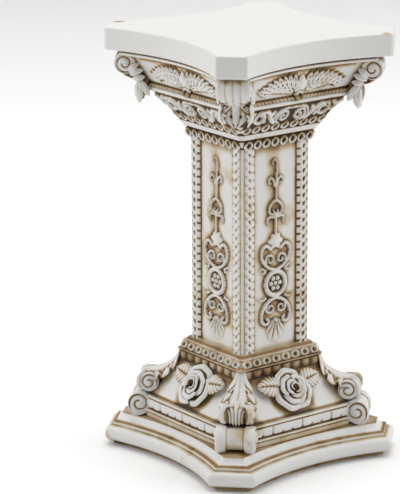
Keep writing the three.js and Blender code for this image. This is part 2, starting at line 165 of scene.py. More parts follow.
class StageLook(bpy.types.PropertyGroup):
    """Floor, lights and camera."""

    floor: colour("Floor", "Colour of the floor and backdrop", (0.86, 0.86, 0.86))
    ambient: FloatProperty(name="Ambient", description="Strength of the even light", default=0.38, min=0.0)
    side_power: power("Side lights", "Power of each side light", 11.6)
    top_power: power("Top light", "Power of the top light", 52.0)
    camera_yaw: bearing("Camera yaw", "Bearing of the camera", -38.037)
    camera_pitch: bearing("Camera height", "Rise of the camera", 15.465)
    look_yaw: bearing("Look yaw", "Bearing the camera is turned to", -36.942)
    look_pitch: bearing("Look pitch", "Rise the camera is turned to", 15.618)
    look_roll: bearing("Look roll", "Roll of the camera", -0.279)
    distance: length("Camera distance", "From the middle of the pedestal to the camera", 1937.4)
    lens: FloatProperty(name="Lens", description="Focal length in millimetres", default=196.4, unit="CAMERA")


def millimetres(group):
    """The lengths of a settings group in millimetres; whole numbers stay as they are."""
    values = {name: getattr(group, name) for name in group.__annotations__}
    return SimpleNamespace(**{name: v / MM if isinstance(v, float) else v for name, v in values.items()})


# Small formulas on whole arrays


def smoothstep(low, high, x):
    """Rises smoothly from 0 at low to 1 at high."""
    t = np.clip((x - low) / (high - low), 0, 1)
    return t * t * (3 - 2 * t)


def hill(distance, half):
    """A rounded hill, 1 at 0 and 0 from half on: one minus the squared share, to the power 0.7."""
    return np.clip(1 - (distance / half) ** 2, 0, 1) ** 0.7


def dip(distance, half):
    """A soft bell, 1 at distance 0: e to the minus squared share."""
    return np.exp(-((distance / half) ** 2))


def band(x, low, high, soft=0.4):
    """1 between low and high and 0 outside, with soft edges."""
    return smoothstep(low - soft, low + soft, x) * (1 - smoothstep(high - soft, high + soft, x))


def smooth_path(points, steps=6):
    """A Catmull-Rom curve through points of any dimension, with steps places for each span."""
    p = np.asarray(points, float)
    p = np.concatenate([[2 * p[0] - p[1]], p, [2 * p[-1] - p[-2]]])
    t = np.linspace(0, 1, steps, endpoint=False)[None, :, None]
    a, b, c, d = (p[i : len(p) - 3 + i, None, :] for i in range(4))
    spans = 0.5 * (2 * b + (c - a) * t + (2 * a - 5 * b + 4 * c - d) * t**2 + (3 * b - a - 3 * c + d) * t**3)
    return np.concatenate([spans.reshape(-1, p.shape[1]), p[-2:-1]])


def resample(path, count):
    """Evenly spaced places along a path of any dimension."""
    run = np.concatenate([[0], np.cumsum(np.linalg.norm(np.diff(path, axis=0), axis=1))])
    places = np.linspace(0, run[-1], count)
    return np.stack([np.interp(places, run, column) for column in path.T], axis=1)


def path_distance(x, y, path):
    """Distance from every grid point to a broken line, and the share of its run at the nearest place."""
    best = np.full(x.shape, np.inf)
    place = np.zeros(x.shape)
    spans = len(path) - 1
    for number, (a, b) in enumerate(zip(path[:-1], path[1:])):
        run = b - a
        t = np.clip(((x - a[0]) * run[0] + (y - a[1]) * run[1]) / max(run @ run, 1e-9), 0, 1)
        distance = np.hypot(x - a[0] - t * run[0], y - a[1] - t * run[1])
        nearer = distance < best
        best = np.where(nearer, distance, best)
        place = np.where(nearer, (number + t) / spans, place)
    return best, place


def ridge(x, y, points, width, rise, end_share=0.6):
    """A carved stem: a hill across a smooth curve, whose width shrinks to a share at the far end."""
    distance, place = path_distance(x, y, smooth_path(points))
    return rise * hill(distance, width / 2 * (1 - (1 - end_share) * place))


def spiral_points(x, y, outer, inner, start, turns, count=15):
    """Points of a spiral from its outer end in to its eye: the radius shrinks evenly with the angle."""
    way = np.linspace(0, 1, count)
    angle = start + 2 * np.pi * turns * way
    radius = outer + (inner - outer) * way
    return np.stack([x + radius * np.cos(angle), y + radius * np.sin(angle)], axis=1)


def leaf_bump(x, y, place, long, wide, turn, rise):
    """A carved leaf: a hill across a line of given length and turn, widest at two fifths, midrib sunk."""
    along = ((x - place[0]) * np.cos(turn) + (y - place[1]) * np.sin(turn)) / long
    across = (y - place[1]) * np.cos(turn) - (x - place[0]) * np.sin(turn)
    inside = np.clip(along, 0, 1)
    half = wide / 2 * np.sin(np.pi * inside**0.75) + 1e-3
    shape = hill(across, half) * (along > 0) * (along < 1)
    return rise * shape * (1 - (0.3 + 0.4 * np.cos(3 * np.pi * inside) ** 2) * dip(across, 0.55))


def repeat(u, pitch, count):
    """Distance along the side from the nearest of a centred row of like ornaments, and the row's mask."""
    local = ((u / pitch + count / 2) % 1 - 0.5) * pitch
    return local, (np.abs(u) < pitch * count / 2).astype(float)


def blurred(field, row_pitch, column_pitch, radius):
    """The field averaged with a bell of the given radius along both ways of its grid."""

    def bell(count, pitch):
        gap = np.subtract.outer(np.arange(count), np.arange(count)) * pitch / radius
        weight = np.exp(-(gap**2) / 2)
        return weight / weight.sum(axis=1, keepdims=True)

    return bell(field.shape[0], row_pitch) @ field @ bell(field.shape[1], column_pitch).T


def hollow(height, row_pitch, column_pitch, radius, depth):
    """How far a place lies below the average of what is round it, as a share of a depth between 0 and 1."""
    return np.clip((blurred(height, row_pitch, column_pitch, radius) - height) / depth, 0, 1)


# Building meshes from grids


def grid_quads(rows, columns, wrap):
    """Corner numbers of the four-sided faces of a grid; a wrapped grid closes on its first column."""
    index = np.arange(rows * columns).reshape(rows, columns)
    if wrap:
        index = np.column_stack([index, index[:, :1]])
    return np.stack([index[:-1, :-1], index[:-1, 1:], index[1:, 1:], index[1:, :-1]], axis=-1).reshape(-1, 4)


class Body:
    """Closed shells gathered into one mesh. Each shell is welded, and turned outward by its signed volume."""

    def __init__(self):
        self.points = []
        self.wash_and_shade = []
        self.quads = []
        self.triangles = []
        self.count = 0

    def add(self, points, wash_and_shade, quads):
        """Adds one shell from points (n by 3, millimetres), their wash and painted shade, and four-sided
        faces.
        """
        keys = np.round(points / WELD).astype(np.int64)
        first, number = np.unique(keys, axis=0, return_index=True, return_inverse=True)[1:]
        corners = number.reshape(-1)[quads]
        same = corners == np.roll(corners, -1, axis=1)
        repeats = same.sum(axis=1)
        whole = corners[repeats == 0]
        pinched = corners[repeats == 1][~same[repeats == 1]].reshape(-1, 3)
        kept = points[first]
        fans = np.concatenate([whole[:, [0, 1, 2]], whole[:, [0, 2, 3]], pinched])
        a, b, c = (kept[fans[:, i]] for i in range(3))
        if np.einsum("ij,ij->", a, np.cross(b, c)) < 0:
            whole, pinched = whole[:, ::-1], pinched[:, ::-1]
        self.points.append(kept)
        self.wash_and_shade.append(wash_and_shade[first])
        self.quads.append(whole + self.count)
        self.triangles.append(pinched + self.count)
        self.count += len(kept)

    def add_ring(self, points, wash_and_shade):
        """Adds a closed body from rings of points (rows, columns, 3); both ends are closed on the axis."""
        rows, columns = wash_and_shade.shape
        ends = np.zeros((2, columns, 3))
        ends[:, :, 2] = points[[0, -1], :, 2].mean(axis=1, keepdims=True)
        closed = np.concatenate([ends[:1], points, ends[1:]])
        washes = np.concatenate([wash_and_shade[:1], wash_and_shade, wash_and_shade[-1:]])
        self.add(closed.reshape(-1, 3), washes.reshape(-1), grid_quads(rows + 2, columns, True))

    def add_leaf(self, points, wash_and_shade, thickness, stain=0.3, inward=None):
        """Adds a closed leaf from its upper grid: the underside lies a thickness below and meets its edge.

        The stain is the wash that the underside has beside its share of the upper side's. The underside lies
        below along the surface's own normals, or along the inward directions given for the rows.
        """
        rows, columns = wash_and_shade.shape
        if inward is None:
            normal = np.cross(np.gradient(points, axis=1), np.gradient(points, axis=0))
            normal /= np.linalg.norm(normal, axis=2, keepdims=True) + 1e-9
            normal *= -np.sign((normal[..., :2] * points[..., :2]).sum())
        else:
            normal = inward[:, None, :]
        edge = np.outer(1 - np.linspace(-1, 1, rows) ** 4, 1 - np.linspace(-1, 1, columns) ** 6)
        under = points + normal * (thickness * edge)[:, :, None]
        both = np.concatenate([points.reshape(-1, 3), under.reshape(-1, 3)])
        quads = grid_quads(rows, columns, False)
        quads = np.concatenate([quads, quads[:, ::-1] + rows * columns])
        self.add(both, np.concatenate([wash_and_shade.reshape(-1), wash_and_shade.reshape(-1) * 0.5 + stain]), quads)

    def place(self, name, material):
        """Makes the object, gives it its material and fixes it to the pedestal."""
        mesh = bpy.data.meshes.new(name)
        faces = np.concatenate(self.quads).tolist() + np.concatenate(self.triangles).tolist()
        mesh.from_pydata(np.concatenate(self.points) * MM, [], faces)
        mesh.polygons.foreach_set("use_smooth", np.ones(len(mesh.polygons), bool))
        mesh.set_sharp_from_angle(angle=np.radians(70))
        # Each vertex's number holds the brown wash and the painted shade.
        attribute = mesh.attributes.new("wash_and_shade", "FLOAT", "POINT")
        attribute.data.foreach_set("value", np.clip(np.concatenate(self.wash_and_shade), 0, 1).astype(np.float32))
        mesh.materials.append(material)
        piece = bpy.data.objects.new(name, mesh)
        bpy.context.scene.collection.objects.link(piece)
        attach(piece, BODY)
        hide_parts(NODE)
        return piece


def turned(points, angle):
    """Points turned about the upright axis."""
    x, y, z = points[..., 0], points[..., 1], points[..., 2]
    across = x * np.cos(angle) - y * np.sin(angle)
    onward = x * np.sin(angle) + y * np.cos(angle)
    return np.stack([across, onward, z], axis=-1)


def corner_points(t, s, z):
    """Points of the corner between the two nearest sides, from t across it, s out along it and z."""
    d = np.sqrt(0.5)
    return np.stack([(-s + t) * d, (-s - t) * d, z + 0 * s], axis=-1)


def columns_of(count, cut_count):
    """Column places of a side: shares of its reach from -1 to 1, and how far on along the cut corner."""
    beyond = np.linspace(1, 0, cut_count, endpoint=False)
    shares = np.concatenate([-np.ones(cut_count), np.linspace(-1, 1, count), np.ones(cut_count)])
    return shares[None, :], np.concatenate([-beyond, np.zeros(count), beyond[::-1]])[None, :]


def side_grid(levels, count, cut_count):
    """One side of a moulding, from levels of (k, z, flare, cut).

    A level runs k + flare share^2 out from the axis at a share of its reach, where reach = k + flare - cut.
    Past the reach it runs straight on at half a right angle to the diagonal. Gives u, k, z and how far past.
    """
    half, z, flare, cut = (column[:, None] for column in levels.T)
    shares, beyond = columns_of(count, cut_count)
    u = shares * (half + flare - cut) + beyond * cut / 2
    k = half + flare * shares**2 - np.abs(beyond) * cut / 2
    return u, k, z + 0 * u, np.abs(beyond) + 0 * u


def four_sides(body, u, k, z, rise, wash_and_shade, wiped=0.0):
    """Adds a closed body from one side's grid, raised square to its profile, four times round the axis.

    The wiped share of the wash is taken off along the front corner and the one opposite to it.
    """
    run = np.stack([np.gradient(k, axis=0), np.gradient(z, axis=0)])
    run /= np.linalg.norm(run, axis=0) + 1e-9
    side = np.stack([u, -(k + rise * run[1]), z - rise * run[0]], axis=-1)[:, :-1]
    points = np.concatenate([turned(side, QUARTER * number) for number in range(4)], axis=1)
    across = np.abs(points[..., 0] - points[..., 1]) * np.sqrt(0.5)
    keep = 1 - wiped * (1 - smoothstep(4, 14, across))
    body.add_ring(points, np.concatenate([wash_and_shade[:, :-1]] * 4, axis=1) * keep)


def levels_along(corners, pitch):
    """Levels of (k, z, flare, cut) at an even pitch along a profile given by its corners."""
    corners = np.asarray(corners, float)
    run = np.linalg.norm(np.diff(corners[:, :2], axis=0), axis=1).sum()
    path = np.concatenate([[0], np.cumsum(np.linalg.norm(np.diff(corners[:, :2], axis=0), axis=1))])
    places = np.linspace(0, run, int(run / pitch) + 2)
    return np.stack([np.interp(places, path, column) for column in corners.T], axis=1)


def side_counts(reach, pitch):
    """How many columns a side of a given reach takes, made odd so that one lies on the middle line."""
    return 2 * int(reach / pitch) + 1


# The shaft

UPPER_LYRE = (
    (4.4, 155.4), (8.4, 158.2), (12.2, 156), (12.8, 150.6), (10.4, 145.4), (5.8, 141.4), (0.6, 139.6),
)
LOWER_LYRE = (
    (0.6, 118.8), (5.4, 117.2), (10.6, 112.8), (12.9, 107), (11.8, 101.8), (8.4, 100), (6.4, 102), (7.6, 104),
)
HEART = ((0, 190.4), (3.2, 189), (5.8, 185.4), (5.2, 181.8), (3, 180.6), (1.5, 181.8), (2, 183.2))
TOP_CURL = ((0.8, 201), (2, 205.2), (4.2, 207.2), (6, 206), (5.8, 203.6), (4.4, 203.2))
DROOP = ((0.4, 180.4), (2.4, 178.4), (5, 179), (7.2, 177.2), (6.8, 173.6))
SPRIGS = (
    ((8.8, 139.8), (12, 141.8), (15, 140.4)),
    ((9.6, 138.4), (12.6, 137.8)),
    ((9, 119.2), (12.2, 118), (15.4, 120)),
)
HOOK = ((0.4, 191), (0.6, 206), (1.2, 214), (0.8, 218.6), (-1, 220.2), (-2.8, 218.6), (-2.2, 216.8))
MEDALLION_Z = 129.5
POD_Z = 160.6
PALMETTE_Z = 103.6


def medallion(u, z):
    """A round rim about six berries and one more: the angle is folded into one sixth of a turn."""
    x, y = u, z - MEDALLION_Z
    r = np.hypot(x, y)
    folded = (np.arctan2(y, x) + np.pi / 6) % (np.pi / 3) - np.pi / 6
    berry = np.hypot(r * np.cos(folded) - 4.1, r * np.sin(folded))
    return np.maximum.reduce([2.4 * hill(r - 8.7, 1.9), 1.9 * hill(berry, 1.9), 2 * hill(r, 1.8)])


def candelabra(u, z):
    """The carving of a shaft panel, mirrored about its middle line but for the hook at the top."""
    m = np.abs(u)
    strokes = [
        ridge(u, z, HOOK, 2.2, 1.8),
        ridge(m, z, TOP_CURL, 2.3, 1.7),
        ridge(m, z, HEART, 2.5, 2.0),
        ridge(m, z, DROOP, 2.6, 1.8),
        ridge(m, z, ((0, 165), (0, 181)), 2.4, 1.8, 1.0),
        ridge(m, z, UPPER_LYRE, 2.9, 2.2, 0.8),
        ridge(m, z, spiral_points(5, 147.4, 4.2, 1.2, -0.4, 1.15), 2.2, 2.0),
        ridge(m, z, LOWER_LYRE, 2.9, 2.2, 0.8),
        ridge(m, z, spiral_points(4.8, 111.4, 4, 1.1, 0.5, -1.15), 2.2, 2.0),
        medallion(u, z),
    ]
    strokes += [ridge(m, z, sprig, 2.0, 1.3, 0.4) for sprig in SPRIGS]
    around = np.arctan2(z - POD_Z, u)
    strokes.append(2.2 * hill(np.hypot(u / 6.4, (z - POD_Z) / 5.6), 1 + 0.12 * np.cos(6 * around)))
    fan = np.arctan2(m, PALMETTE_Z - z)
    leaflet = 0.62 + 0.38 * np.cos(2 * np.pi * fan / 0.36)
    far = np.hypot(m, PALMETTE_Z - z) / (17.6 * np.clip(np.cos(fan * 1.15), 0.05, 1))
    strokes.append(2.1 * hill(far, 1.0) * leaflet * (fan < 1.3))
    return np.maximum.reduce(strokes)


def leaf_border(m, z):
    """The border up a shaft's edge: a rope of leaflets, each with a steep slot, then two corner rods.

    A slot is a bell across and along a line that leans out as it rises. The row beside it is half a step up.
    """
    x = m - 24.6
    pitch = 6.05
    place = ((z - 0.9 * np.abs(x)) / pitch) % 1
    rope = hill(x, 4.4) * (0.72 + 0.28 * np.abs(np.cos(np.pi * place)))

    def slot(middle, up, long, wide):
        dx = m - middle
        dz = ((z / pitch + up) % 1 - 0.5) * pitch
        lean = np.radians(24)
        along = dz * np.cos(lean) + dx * np.sin(lean)
        return dip(along, long) * dip(dx * np.cos(lean) - dz * np.sin(lean), wide)

    slots = slot(24.3, 0, 1.5, 0.7) + 0.6 * slot(27.2, 0.5, 1.2, 0.5)
    tick = dip(((z / 5.7) % 1 - 0.5) * 5.7, 0.8) * band(m, 18.9, 21.4)
    rods = 0.9 * hill(m - 29.7, 1.0) - 0.8 * dip(m - 28.5, 0.45)
    rise = 1.1 * rope - 1.6 * slots - 1.0 * tick + rods
    crease = 0.3 * (1 - np.abs(np.cos(np.pi * place))) ** 2 * band(m, 21.4, 28.2)
    return rise, np.clip(1.3 * slots + 0.95 * tick + 0.7 * dip(m - 28.5, 0.5) + crease, 0, 1)


def shaft_relief(u, z, sizes):
    """Rise and wash of a shaft face: a sunk panel with its carving, between two borders."""
    m = np.abs(u)
    inside = 1 - smoothstep(sizes.panel_half - 0.55, sizes.panel_half + 0.25, m)
    figure = candelabra(u, z) * inside
    border, border_wash = leaf_border(m, z)
    rise = figure - sizes.panel_depth * inside + border * (1 - inside)
    near = blurred(np.clip(figure, 0, 1.2), sizes.pitch, sizes.pitch, 1.8)
    left = np.roll(near, -int(2.6 / sizes.pitch), axis=1)
    pooled = np.clip(0.3 * near + 0.35 * left, 0, 1) * (figure < 0.5)
    wash_and_shade = 0.5 * hollow(rise, sizes.pitch, sizes.pitch, 1.1, 0.75) + 0.5 * pooled
    wash_and_shade += 0.45 * inside * hollow(rise, sizes.pitch, sizes.pitch, 2.8, 0.8)
    wash_and_shade += 0.22 * inside * dip(u + 3, 6) * band(z, 165, 240, 8)
    ends = 0.6 * dip(z - sizes.shaft_bottom, 3) + dip(z - sizes.shaft_top, 5)
    walls = dip(m - sizes.panel_half + 0.5, 0.7)
    wash_and_shade += inside * (0.5 * ends + 0.4 * walls) + border_wash * (1 - inside)
    return rise, wash_and_shade


# The neck and the cove

NECK_ARCH = ((0.4, 262.8), (5, 263), (10.4, 261.6), (14.4, 257.8), (15.4, 252.8))
NECK_STEM = ((13.6, 252), (17, 254.8), (20.2, 259.2), (24.6, 262.4), (29.4, 262.6))
NECK_TAIL = ((31.8, 258.4), (34.6, 255.6), (38, 257), (40.6, 260.6), (44, 262.6))


def ring_beads(u, z, centre, pitch, count, tall):
    """A row of ring beads: a thin rim about a pit with a grain in it. Gives rise, and wash with painted shade
    on the rims' upper halves.
    """
    x, there = repeat(u, pitch, count)
    y = (z - centre) * 3.8 / tall
    r = np.hypot(x, y)
    grain = np.hypot(x - 0.5, y + 0.4)
    row = band(z, centre - tall, centre + tall, 0.3)
    rim = hill(r - 2.75, 1.0)
    pit = 1 - smoothstep(1.4, 2.3, r)
    rise = (1.5 * rim - 1.0 * pit + 0.8 * dip(grain, 0.65)) * there * row
    between = smoothstep(3.2, 3.9, r)
    # The upper half of each rim gets painted shade.
    return rise, there * row * (1.6 * pit + 1.15 * between + 0.45 * rim * smoothstep(0.5, 3, y))


def neck_scrolls(u, z):
    """The scrolled frieze of the neck: two counter-turning spirals under an arch, a leafy loop and a tail."""
    m = np.abs(u)
    return np.maximum.reduce([
        ridge(m, z, spiral_points(7, 256, 6, 1, -QUARTER, 1.55, 22), 2.1, 2.3, 0.8),
        ridge(m, z, NECK_ARCH, 2.0, 2.2, 0.9),
        ridge(m, z, NECK_STEM, 3.4, 2.6, 0.9),
        ridge(m, z, spiral_points(27.6, 257.6, 5.4, 2.4, 1.3, -1.05, 16), 2.9, 2.6, 0.7),
        leaf_bump(m, z, (15.6, 261.6), 8, 3.6, -0.75, 2.2),
        leaf_bump(m, z, (21, 252.6), 7, 3.4, 0.75, 2.2),
        leaf_bump(m, z, (33.6, 262.4), 8, 3.6, -0.5, 2.2),
        ridge(m, z, NECK_TAIL, 2.6, 2.2, 0.6),
    ])


def neck_relief(u, z, sizes):
    """Rise and wash of the neck: two rows of ring beads with a plain band between, and scrolls over them."""
    low, low_wash_and_shade = ring_beads(u, z, 234.5, 7.8, 8, 3.4)
    high, high_wash_and_shade = ring_beads(u, z, 247.4, 8.4, 9, 3.3)
    frieze = band(z, 250.8, 264.0)
    scrolls = neck_scrolls(u, z) * frieze
    rise = low + np.maximum(high * (1 - 0.8 * frieze), scrolls)
    lines = sum(dip(z - line, 0.75) for line in (238.2, 243.9, 264.4))
    ground = frieze * (1 - np.clip(scrolls / 1.1, 0, 1))
    fade = 1 - 0.45 * smoothstep(34, 46, np.abs(u))
    return rise, low_wash_and_shade + high_wash_and_shade * (1 - frieze) + 1.3 * ground * fade + 0.9 * lines


def cove_leaves(m, z):
    """The spray of a cove: leaves fanned out from the flower, the lower ones longer and flatter."""
    made = []
    for number in range(8):
        out = number / 7
        place = (4.5 + 24 * out, 275.6 + 2.4 * np.sin(np.pi * out))
        made.append(leaf_bump(m, z, place, 13.5 - 2.5 * out, 5.8, 1.35 - 1.05 * out, 2.6))
    for number in range(5):
        out = number / 4
        made.append(leaf_bump(m, z, (5 + 19 * out, 274.4 + 2.2 * out), 13, 5.2, 0.28 + 0.12 * out, 2.2))
    return np.maximum.reduce(made)


def cove_relief(u, z, sizes):
    """Rise and wash of the cove: a rope along its foot, a flower over a pierced bud, and the spray."""
    m = np.abs(u)
    lean = ((u * np.sign(u + 1e-9) - 0.8 * (z - 268.8)) / 3.3) % 1 - 0.5
    rope_row = band(z, 267.9, 270.0)
    rope = 0.9 * rope_row * hill(lean, 0.5) * hill(z - 268.95, 1.5)
    turn = np.arctan2(z - 279, u)
    flower = 3.4 * hill(np.hypot(u, z - 279.4), 6.2 * (1 + 0.14 * np.cos(5 * turn - QUARTER)))
    bud = 2.8 * hill(np.hypot(u, z - 271.4) - 2.5, 1.5)
    spray = cove_leaves(m, z)
    rise = rope + np.maximum.reduce([flower, bud, spray])
    shade = dip(z - sizes.cove_top, 2.6) * (m < 44)
    pit = dip(np.hypot(u, z - 271.4), 1.7)
    wash_and_shade = 1.2 * hollow(rise, sizes.pitch, sizes.pitch, 1.1, 0.75) + 0.75 * shade + 0.95 * pit
    wash_and_shade += rope_row * (0.32 + 0.35 * (1 - hill(lean, 0.5))) + 0.85 * dip(z - 270.7, 0.7)
    return rise, wash_and_shade + 0.8 * smoothstep(41, 52, m)


# The base


def field_relief(u, z, sizes):
    """Rise, wash and painted shadow of the sloping field: a row of tongues at its head, ring beads in a row
    over them.
    """
    x, there = repeat(u, 8.75, 8)
    row = band(z, sizes.field_top + 0.2, sizes.band_bottom - 0.2, 0.3)
    low = np.minimum(z - 68.2, 0) * 1.0
    tongue = hill(np.hypot(x / 3.9, low / 3.9), 1.0) * row * there
    beads, bead_wash_and_shade = ring_beads(u, z, 75.6, 8.75, 8, 2.9)
    rise = 1.2 * tongue + beads
    lines = 0.75 * dip(z - 71.6, 0.7) + 0.45 * dip(z - 73.0, 0.5) + 0.75 * dip(z - 80.3, 1.3)
    shade = row * (0.36 + 0.5 * (1 - tongue))
    rose = np.hypot(u / 1.15, (z - 51) * 1.1)
    # Painted shadow round the rose.
    rose_shadow = 0.62 * (1 - smoothstep(14, 19.5, rose))
    head = 0.62 * dip(z - sizes.field_top, 4.5) * (z < sizes.field_top + 0.4)
    foot = 0.75 * dip(z - sizes.frieze_top - 0.6, 1.0)
    corner = 0.42 * smoothstep(31, 42, np.abs(u) + 0.3 * (z - 40))
    on_field = (z < sizes.field_top).astype(float)
    wash_and_shade = bead_wash_and_shade * 0.48 + lines + shade + foot + head + on_field * (rose_shadow + corner)
    return rise, wash_and_shade


def frieze_relief(u, z, sizes):
    """Rise and wash of the block: a frieze of square tongues, rounded below, with notches between them."""
    x, there = repeat(u, 8.9, 10)
    row = band(z, 29.4, 36.4, 0.3)
    low = np.clip(33 - z, 0, 4) / 3.7
    tongue = row * (1 - smoothstep(0.8, 1.0, np.abs(x / 4.4) ** 3.5 + low**3.5))
    gap = row * (1 - tongue)
    lines = 0.8 * dip(z - 29.1, 0.5) + 0.75 * dip(z - 36.7, 0.5)
    lines += 0.7 * dip(z - 26.9, 0.6) + 0.6 * dip(z - 38.9, 0.5)
    block = 0.32 * band(z, 21.5, 26.8, 0.6) + 0.55 * dip(z - 22.2, 0.9)
    return 1.5 * tongue, gap * (0.3 + 0.8 * low**2) + lines + block


# The corners


def corner_frame(spine):
    """Outward directions (in s and z) of a spine of (s, z) places, square to its run."""
    run = np.gradient(spine, axis=0)
    run /= np.linalg.norm(run, axis=1, keepdims=True)
    return np.stack([-run[:, 1], run[:, 0]], axis=1)


def corner_leaf(stations, flutes, depth, cup, notches, slots, rows=110, columns=49):
    """A leaf down a corner, from stations of (s, z, half width).

    Across the leaf, a place at t drops behind the spine by hypot(t, 5) - 5 times the cup, and waves in and
    out with the cosine of its share of the width. At each notch the edge draws in, and a crease runs from it
    up towards the spine, so that leaflets are left between. Slots are drilled pits. Painted shade darkens the
    leaf's top end. Gives the points, the wash with that shade, and each row's inward direction.
    """
    smooth = resample(smooth_path(stations), rows)
    spine, half = smooth[:, :2], smooth[:, 2]
    out = corner_frame(spine)
    out *= np.sign(out[:, :1].sum())
    across = np.linspace(-1, 1, columns)[None, :]
    along = np.linspace(0, 1, rows)[:, None]
    far = np.abs(across)
    drawn_in = sum((dip(along - notch, 0.02) for notch in notches), 0 * along)
    t = across * half[:, None] * (1 - 0.34 * drawn_in * far**2)
    creases = sum((dip(along - notch + 0.17 * (1 - far) ** 1.2, 0.014) for notch in notches), 0 * across)
    creases = creases * smoothstep(0.25, 0.55, far)
    grow = smoothstep(0.45, 0.7, along)
    wave = np.cos(2 * np.pi * flutes * across) * depth * grow
    drilled = sum((dip(along - a, long) * dip(far - b, 0.09) for a, b, long in slots), 0 * across)
    drop = cup * (np.hypot(t, 5) - 5) - wave + 1.0 * creases + 1.5 * drilled
    s = spine[:, :1] - drop * out[:, :1]
    z = spine[:, 1:] - drop * out[:, 1:]
    valley = np.clip(-wave / max(depth, 1e-6), 0, 1)
    streaks = 0.3 * (1 - grow) * np.clip(np.cos(13 * across), 0, 1) ** 2
    # Painted shade at the leaf's top end, where it meets what is over it, beside the streaks.
    head = streaks + 0.5 * (1 - smoothstep(0, 0.1, along)) * (1 - 0.3 * np.cos(9 * across))
    wash_and_shade = 0.45 * valley**2 + 0.6 * creases + drilled + 0.4 * far**8 * smoothstep(0.3, 0.5, along) + head
    inward = corner_points(0 * half, -out[:, 0], -out[:, 1])
    return corner_points(t, s, z), wash_and_shade, inward


def lobe(start, middle, end, wide, up, rows=16, columns=11):
    """A small leaf along a curve through three (t, s, z) places, cupped across, with a sunk midrib."""
    spine = resample(smooth_path((start, middle, end)), rows)
    run = np.gradient(spine, axis=0)
    run /= np.linalg.norm(run, axis=1, keepdims=True)
    side = np.cross(run, np.asarray(up, float))
    side /= np.linalg.norm(side, axis=1, keepdims=True)
    out = np.cross(side, run)
    across = np.linspace(-1, 1, columns)
    along = np.linspace(0, 1, rows)
    half = wide / 2 * np.clip(np.sin(np.pi * (0.12 + 0.86 * along)), 0, 1) ** 0.7
    bulge = wide * 0.28 * (1 - across**2) - 0.5 * dip(across, 0.16)
    points = spine[:, None, :] + side[:, None, :] * (half[:, None] * across)[:, :, None]
    points = points + out[:, None, :] * (np.outer(half / (wide / 2), bulge))[:, :, None]
    wash_and_shade = np.outer(1 - 0.6 * along, 0.3 * dip(across, 0.2) + 0.6 * np.abs(across) ** 8)
    return corner_points(points[..., 0], points[..., 1], points[..., 2]), wash_and_shade


def roll_profile(radius, half, end_rows, shape):
    """Profile of a roll as (radius, along): over one end, along the barrel's shares, over the other."""
    inner = np.linspace(0, 0.88, end_rows) * radius
    shares = np.asarray(shape, float)
    body = np.stack([shares[:, 0] * radius, shares[:, 1] * half], axis=1)
    ends = np.full(end_rows, 0.93 * half)
    low = np.stack([inner, -ends], axis=1)
    high = np.stack([inner[::-1], ends], axis=1)
    return np.concatenate([low, body, high])


def barrel(middle, half):
    """A barrel as shares of radius and half length: its middle, and one half that is mirrored."""
    mirrored = tuple((radius, -along) for radius, along in half[::-1])
    return (*mirrored, (middle, 0), *half)


PLAIN_BARREL = barrel(0.95, ((0.97, 0.5), (1, 0.88), (0.97, 0.94), (0.92, 0.97)))
PADDED_BARREL = barrel(0.83, (
    (0.83, 0.36), (0.86, 0.42), (0.93, 0.46), (0.99, 0.55),
    (1.02, 0.72), (1, 0.86), (0.96, 0.95), (0.9, 0.98),
))


def roll(s, z, radius, half, shape, winding, start, around, foot=0.0, shade=0.0, end_rows=21):
    """A scroll across a corner: a turned barrel whose two ends carry a spiral groove.

    The groove's radius falls evenly from nine tenths of the roll's to a fifth in one and a half turns. The
    foot share swells the barrel outward and down, where the scroll runs on into what it stands on. The shade
    is painted shade on the barrel, halfway out to each end.
    """
    profile = roll_profile(radius, half, end_rows, shape)
    r = profile[:, :1]
    angle = np.linspace(0, 2 * np.pi, around, endpoint=False)[None, :]
    turn = (winding * (angle - start)) % (2 * np.pi)
    groove = np.zeros((len(profile), around))
    turns = 1.5
    for lap in range(2):
        way = (turn / (2 * np.pi) + lap) / turns
        centre = radius * (0.93 - 0.72 * way)
        depth = smoothstep(0.0, 0.12, way) * (1 - smoothstep(0.94, 1.0, way))
        groove = np.maximum(groove, depth * dip(r - centre, 0.085 * radius))
    on_end = np.zeros(len(profile))
    on_end[:end_rows] = 1
    on_end[-end_rows:] = -1
    bulge = 0.26 * radius * np.clip(1 - r / radius, 0, 1)
    along = profile[:, 1:] + on_end[:, None] * (0.17 * radius * groove - bulge)
    tail = 1 + foot * dip(np.angle(np.exp(1j * (angle + 1.1))), 0.6) * (r / radius) ** 3
    points = corner_points(along, s + r * tail * np.cos(angle), z + r * tail * np.sin(angle))
    junction = dip(r / radius - 0.87, 0.03) * (on_end == 0)[:, None]
    shadow = shade * dip(np.abs(profile[:, 1:]) / half - 0.5, 0.2)
    return points, 0.62 * groove * np.abs(on_end)[:, None] + 0.55 * junction + shadow


def add_roll(body, points, wash_and_shade):
    """Adds a roll's grid as a closed shell."""
    rows, columns = wash_and_shade.shape
    body.add(points.reshape(-1, 3), wash_and_shade.reshape(-1), grid_quads(rows, columns, True))


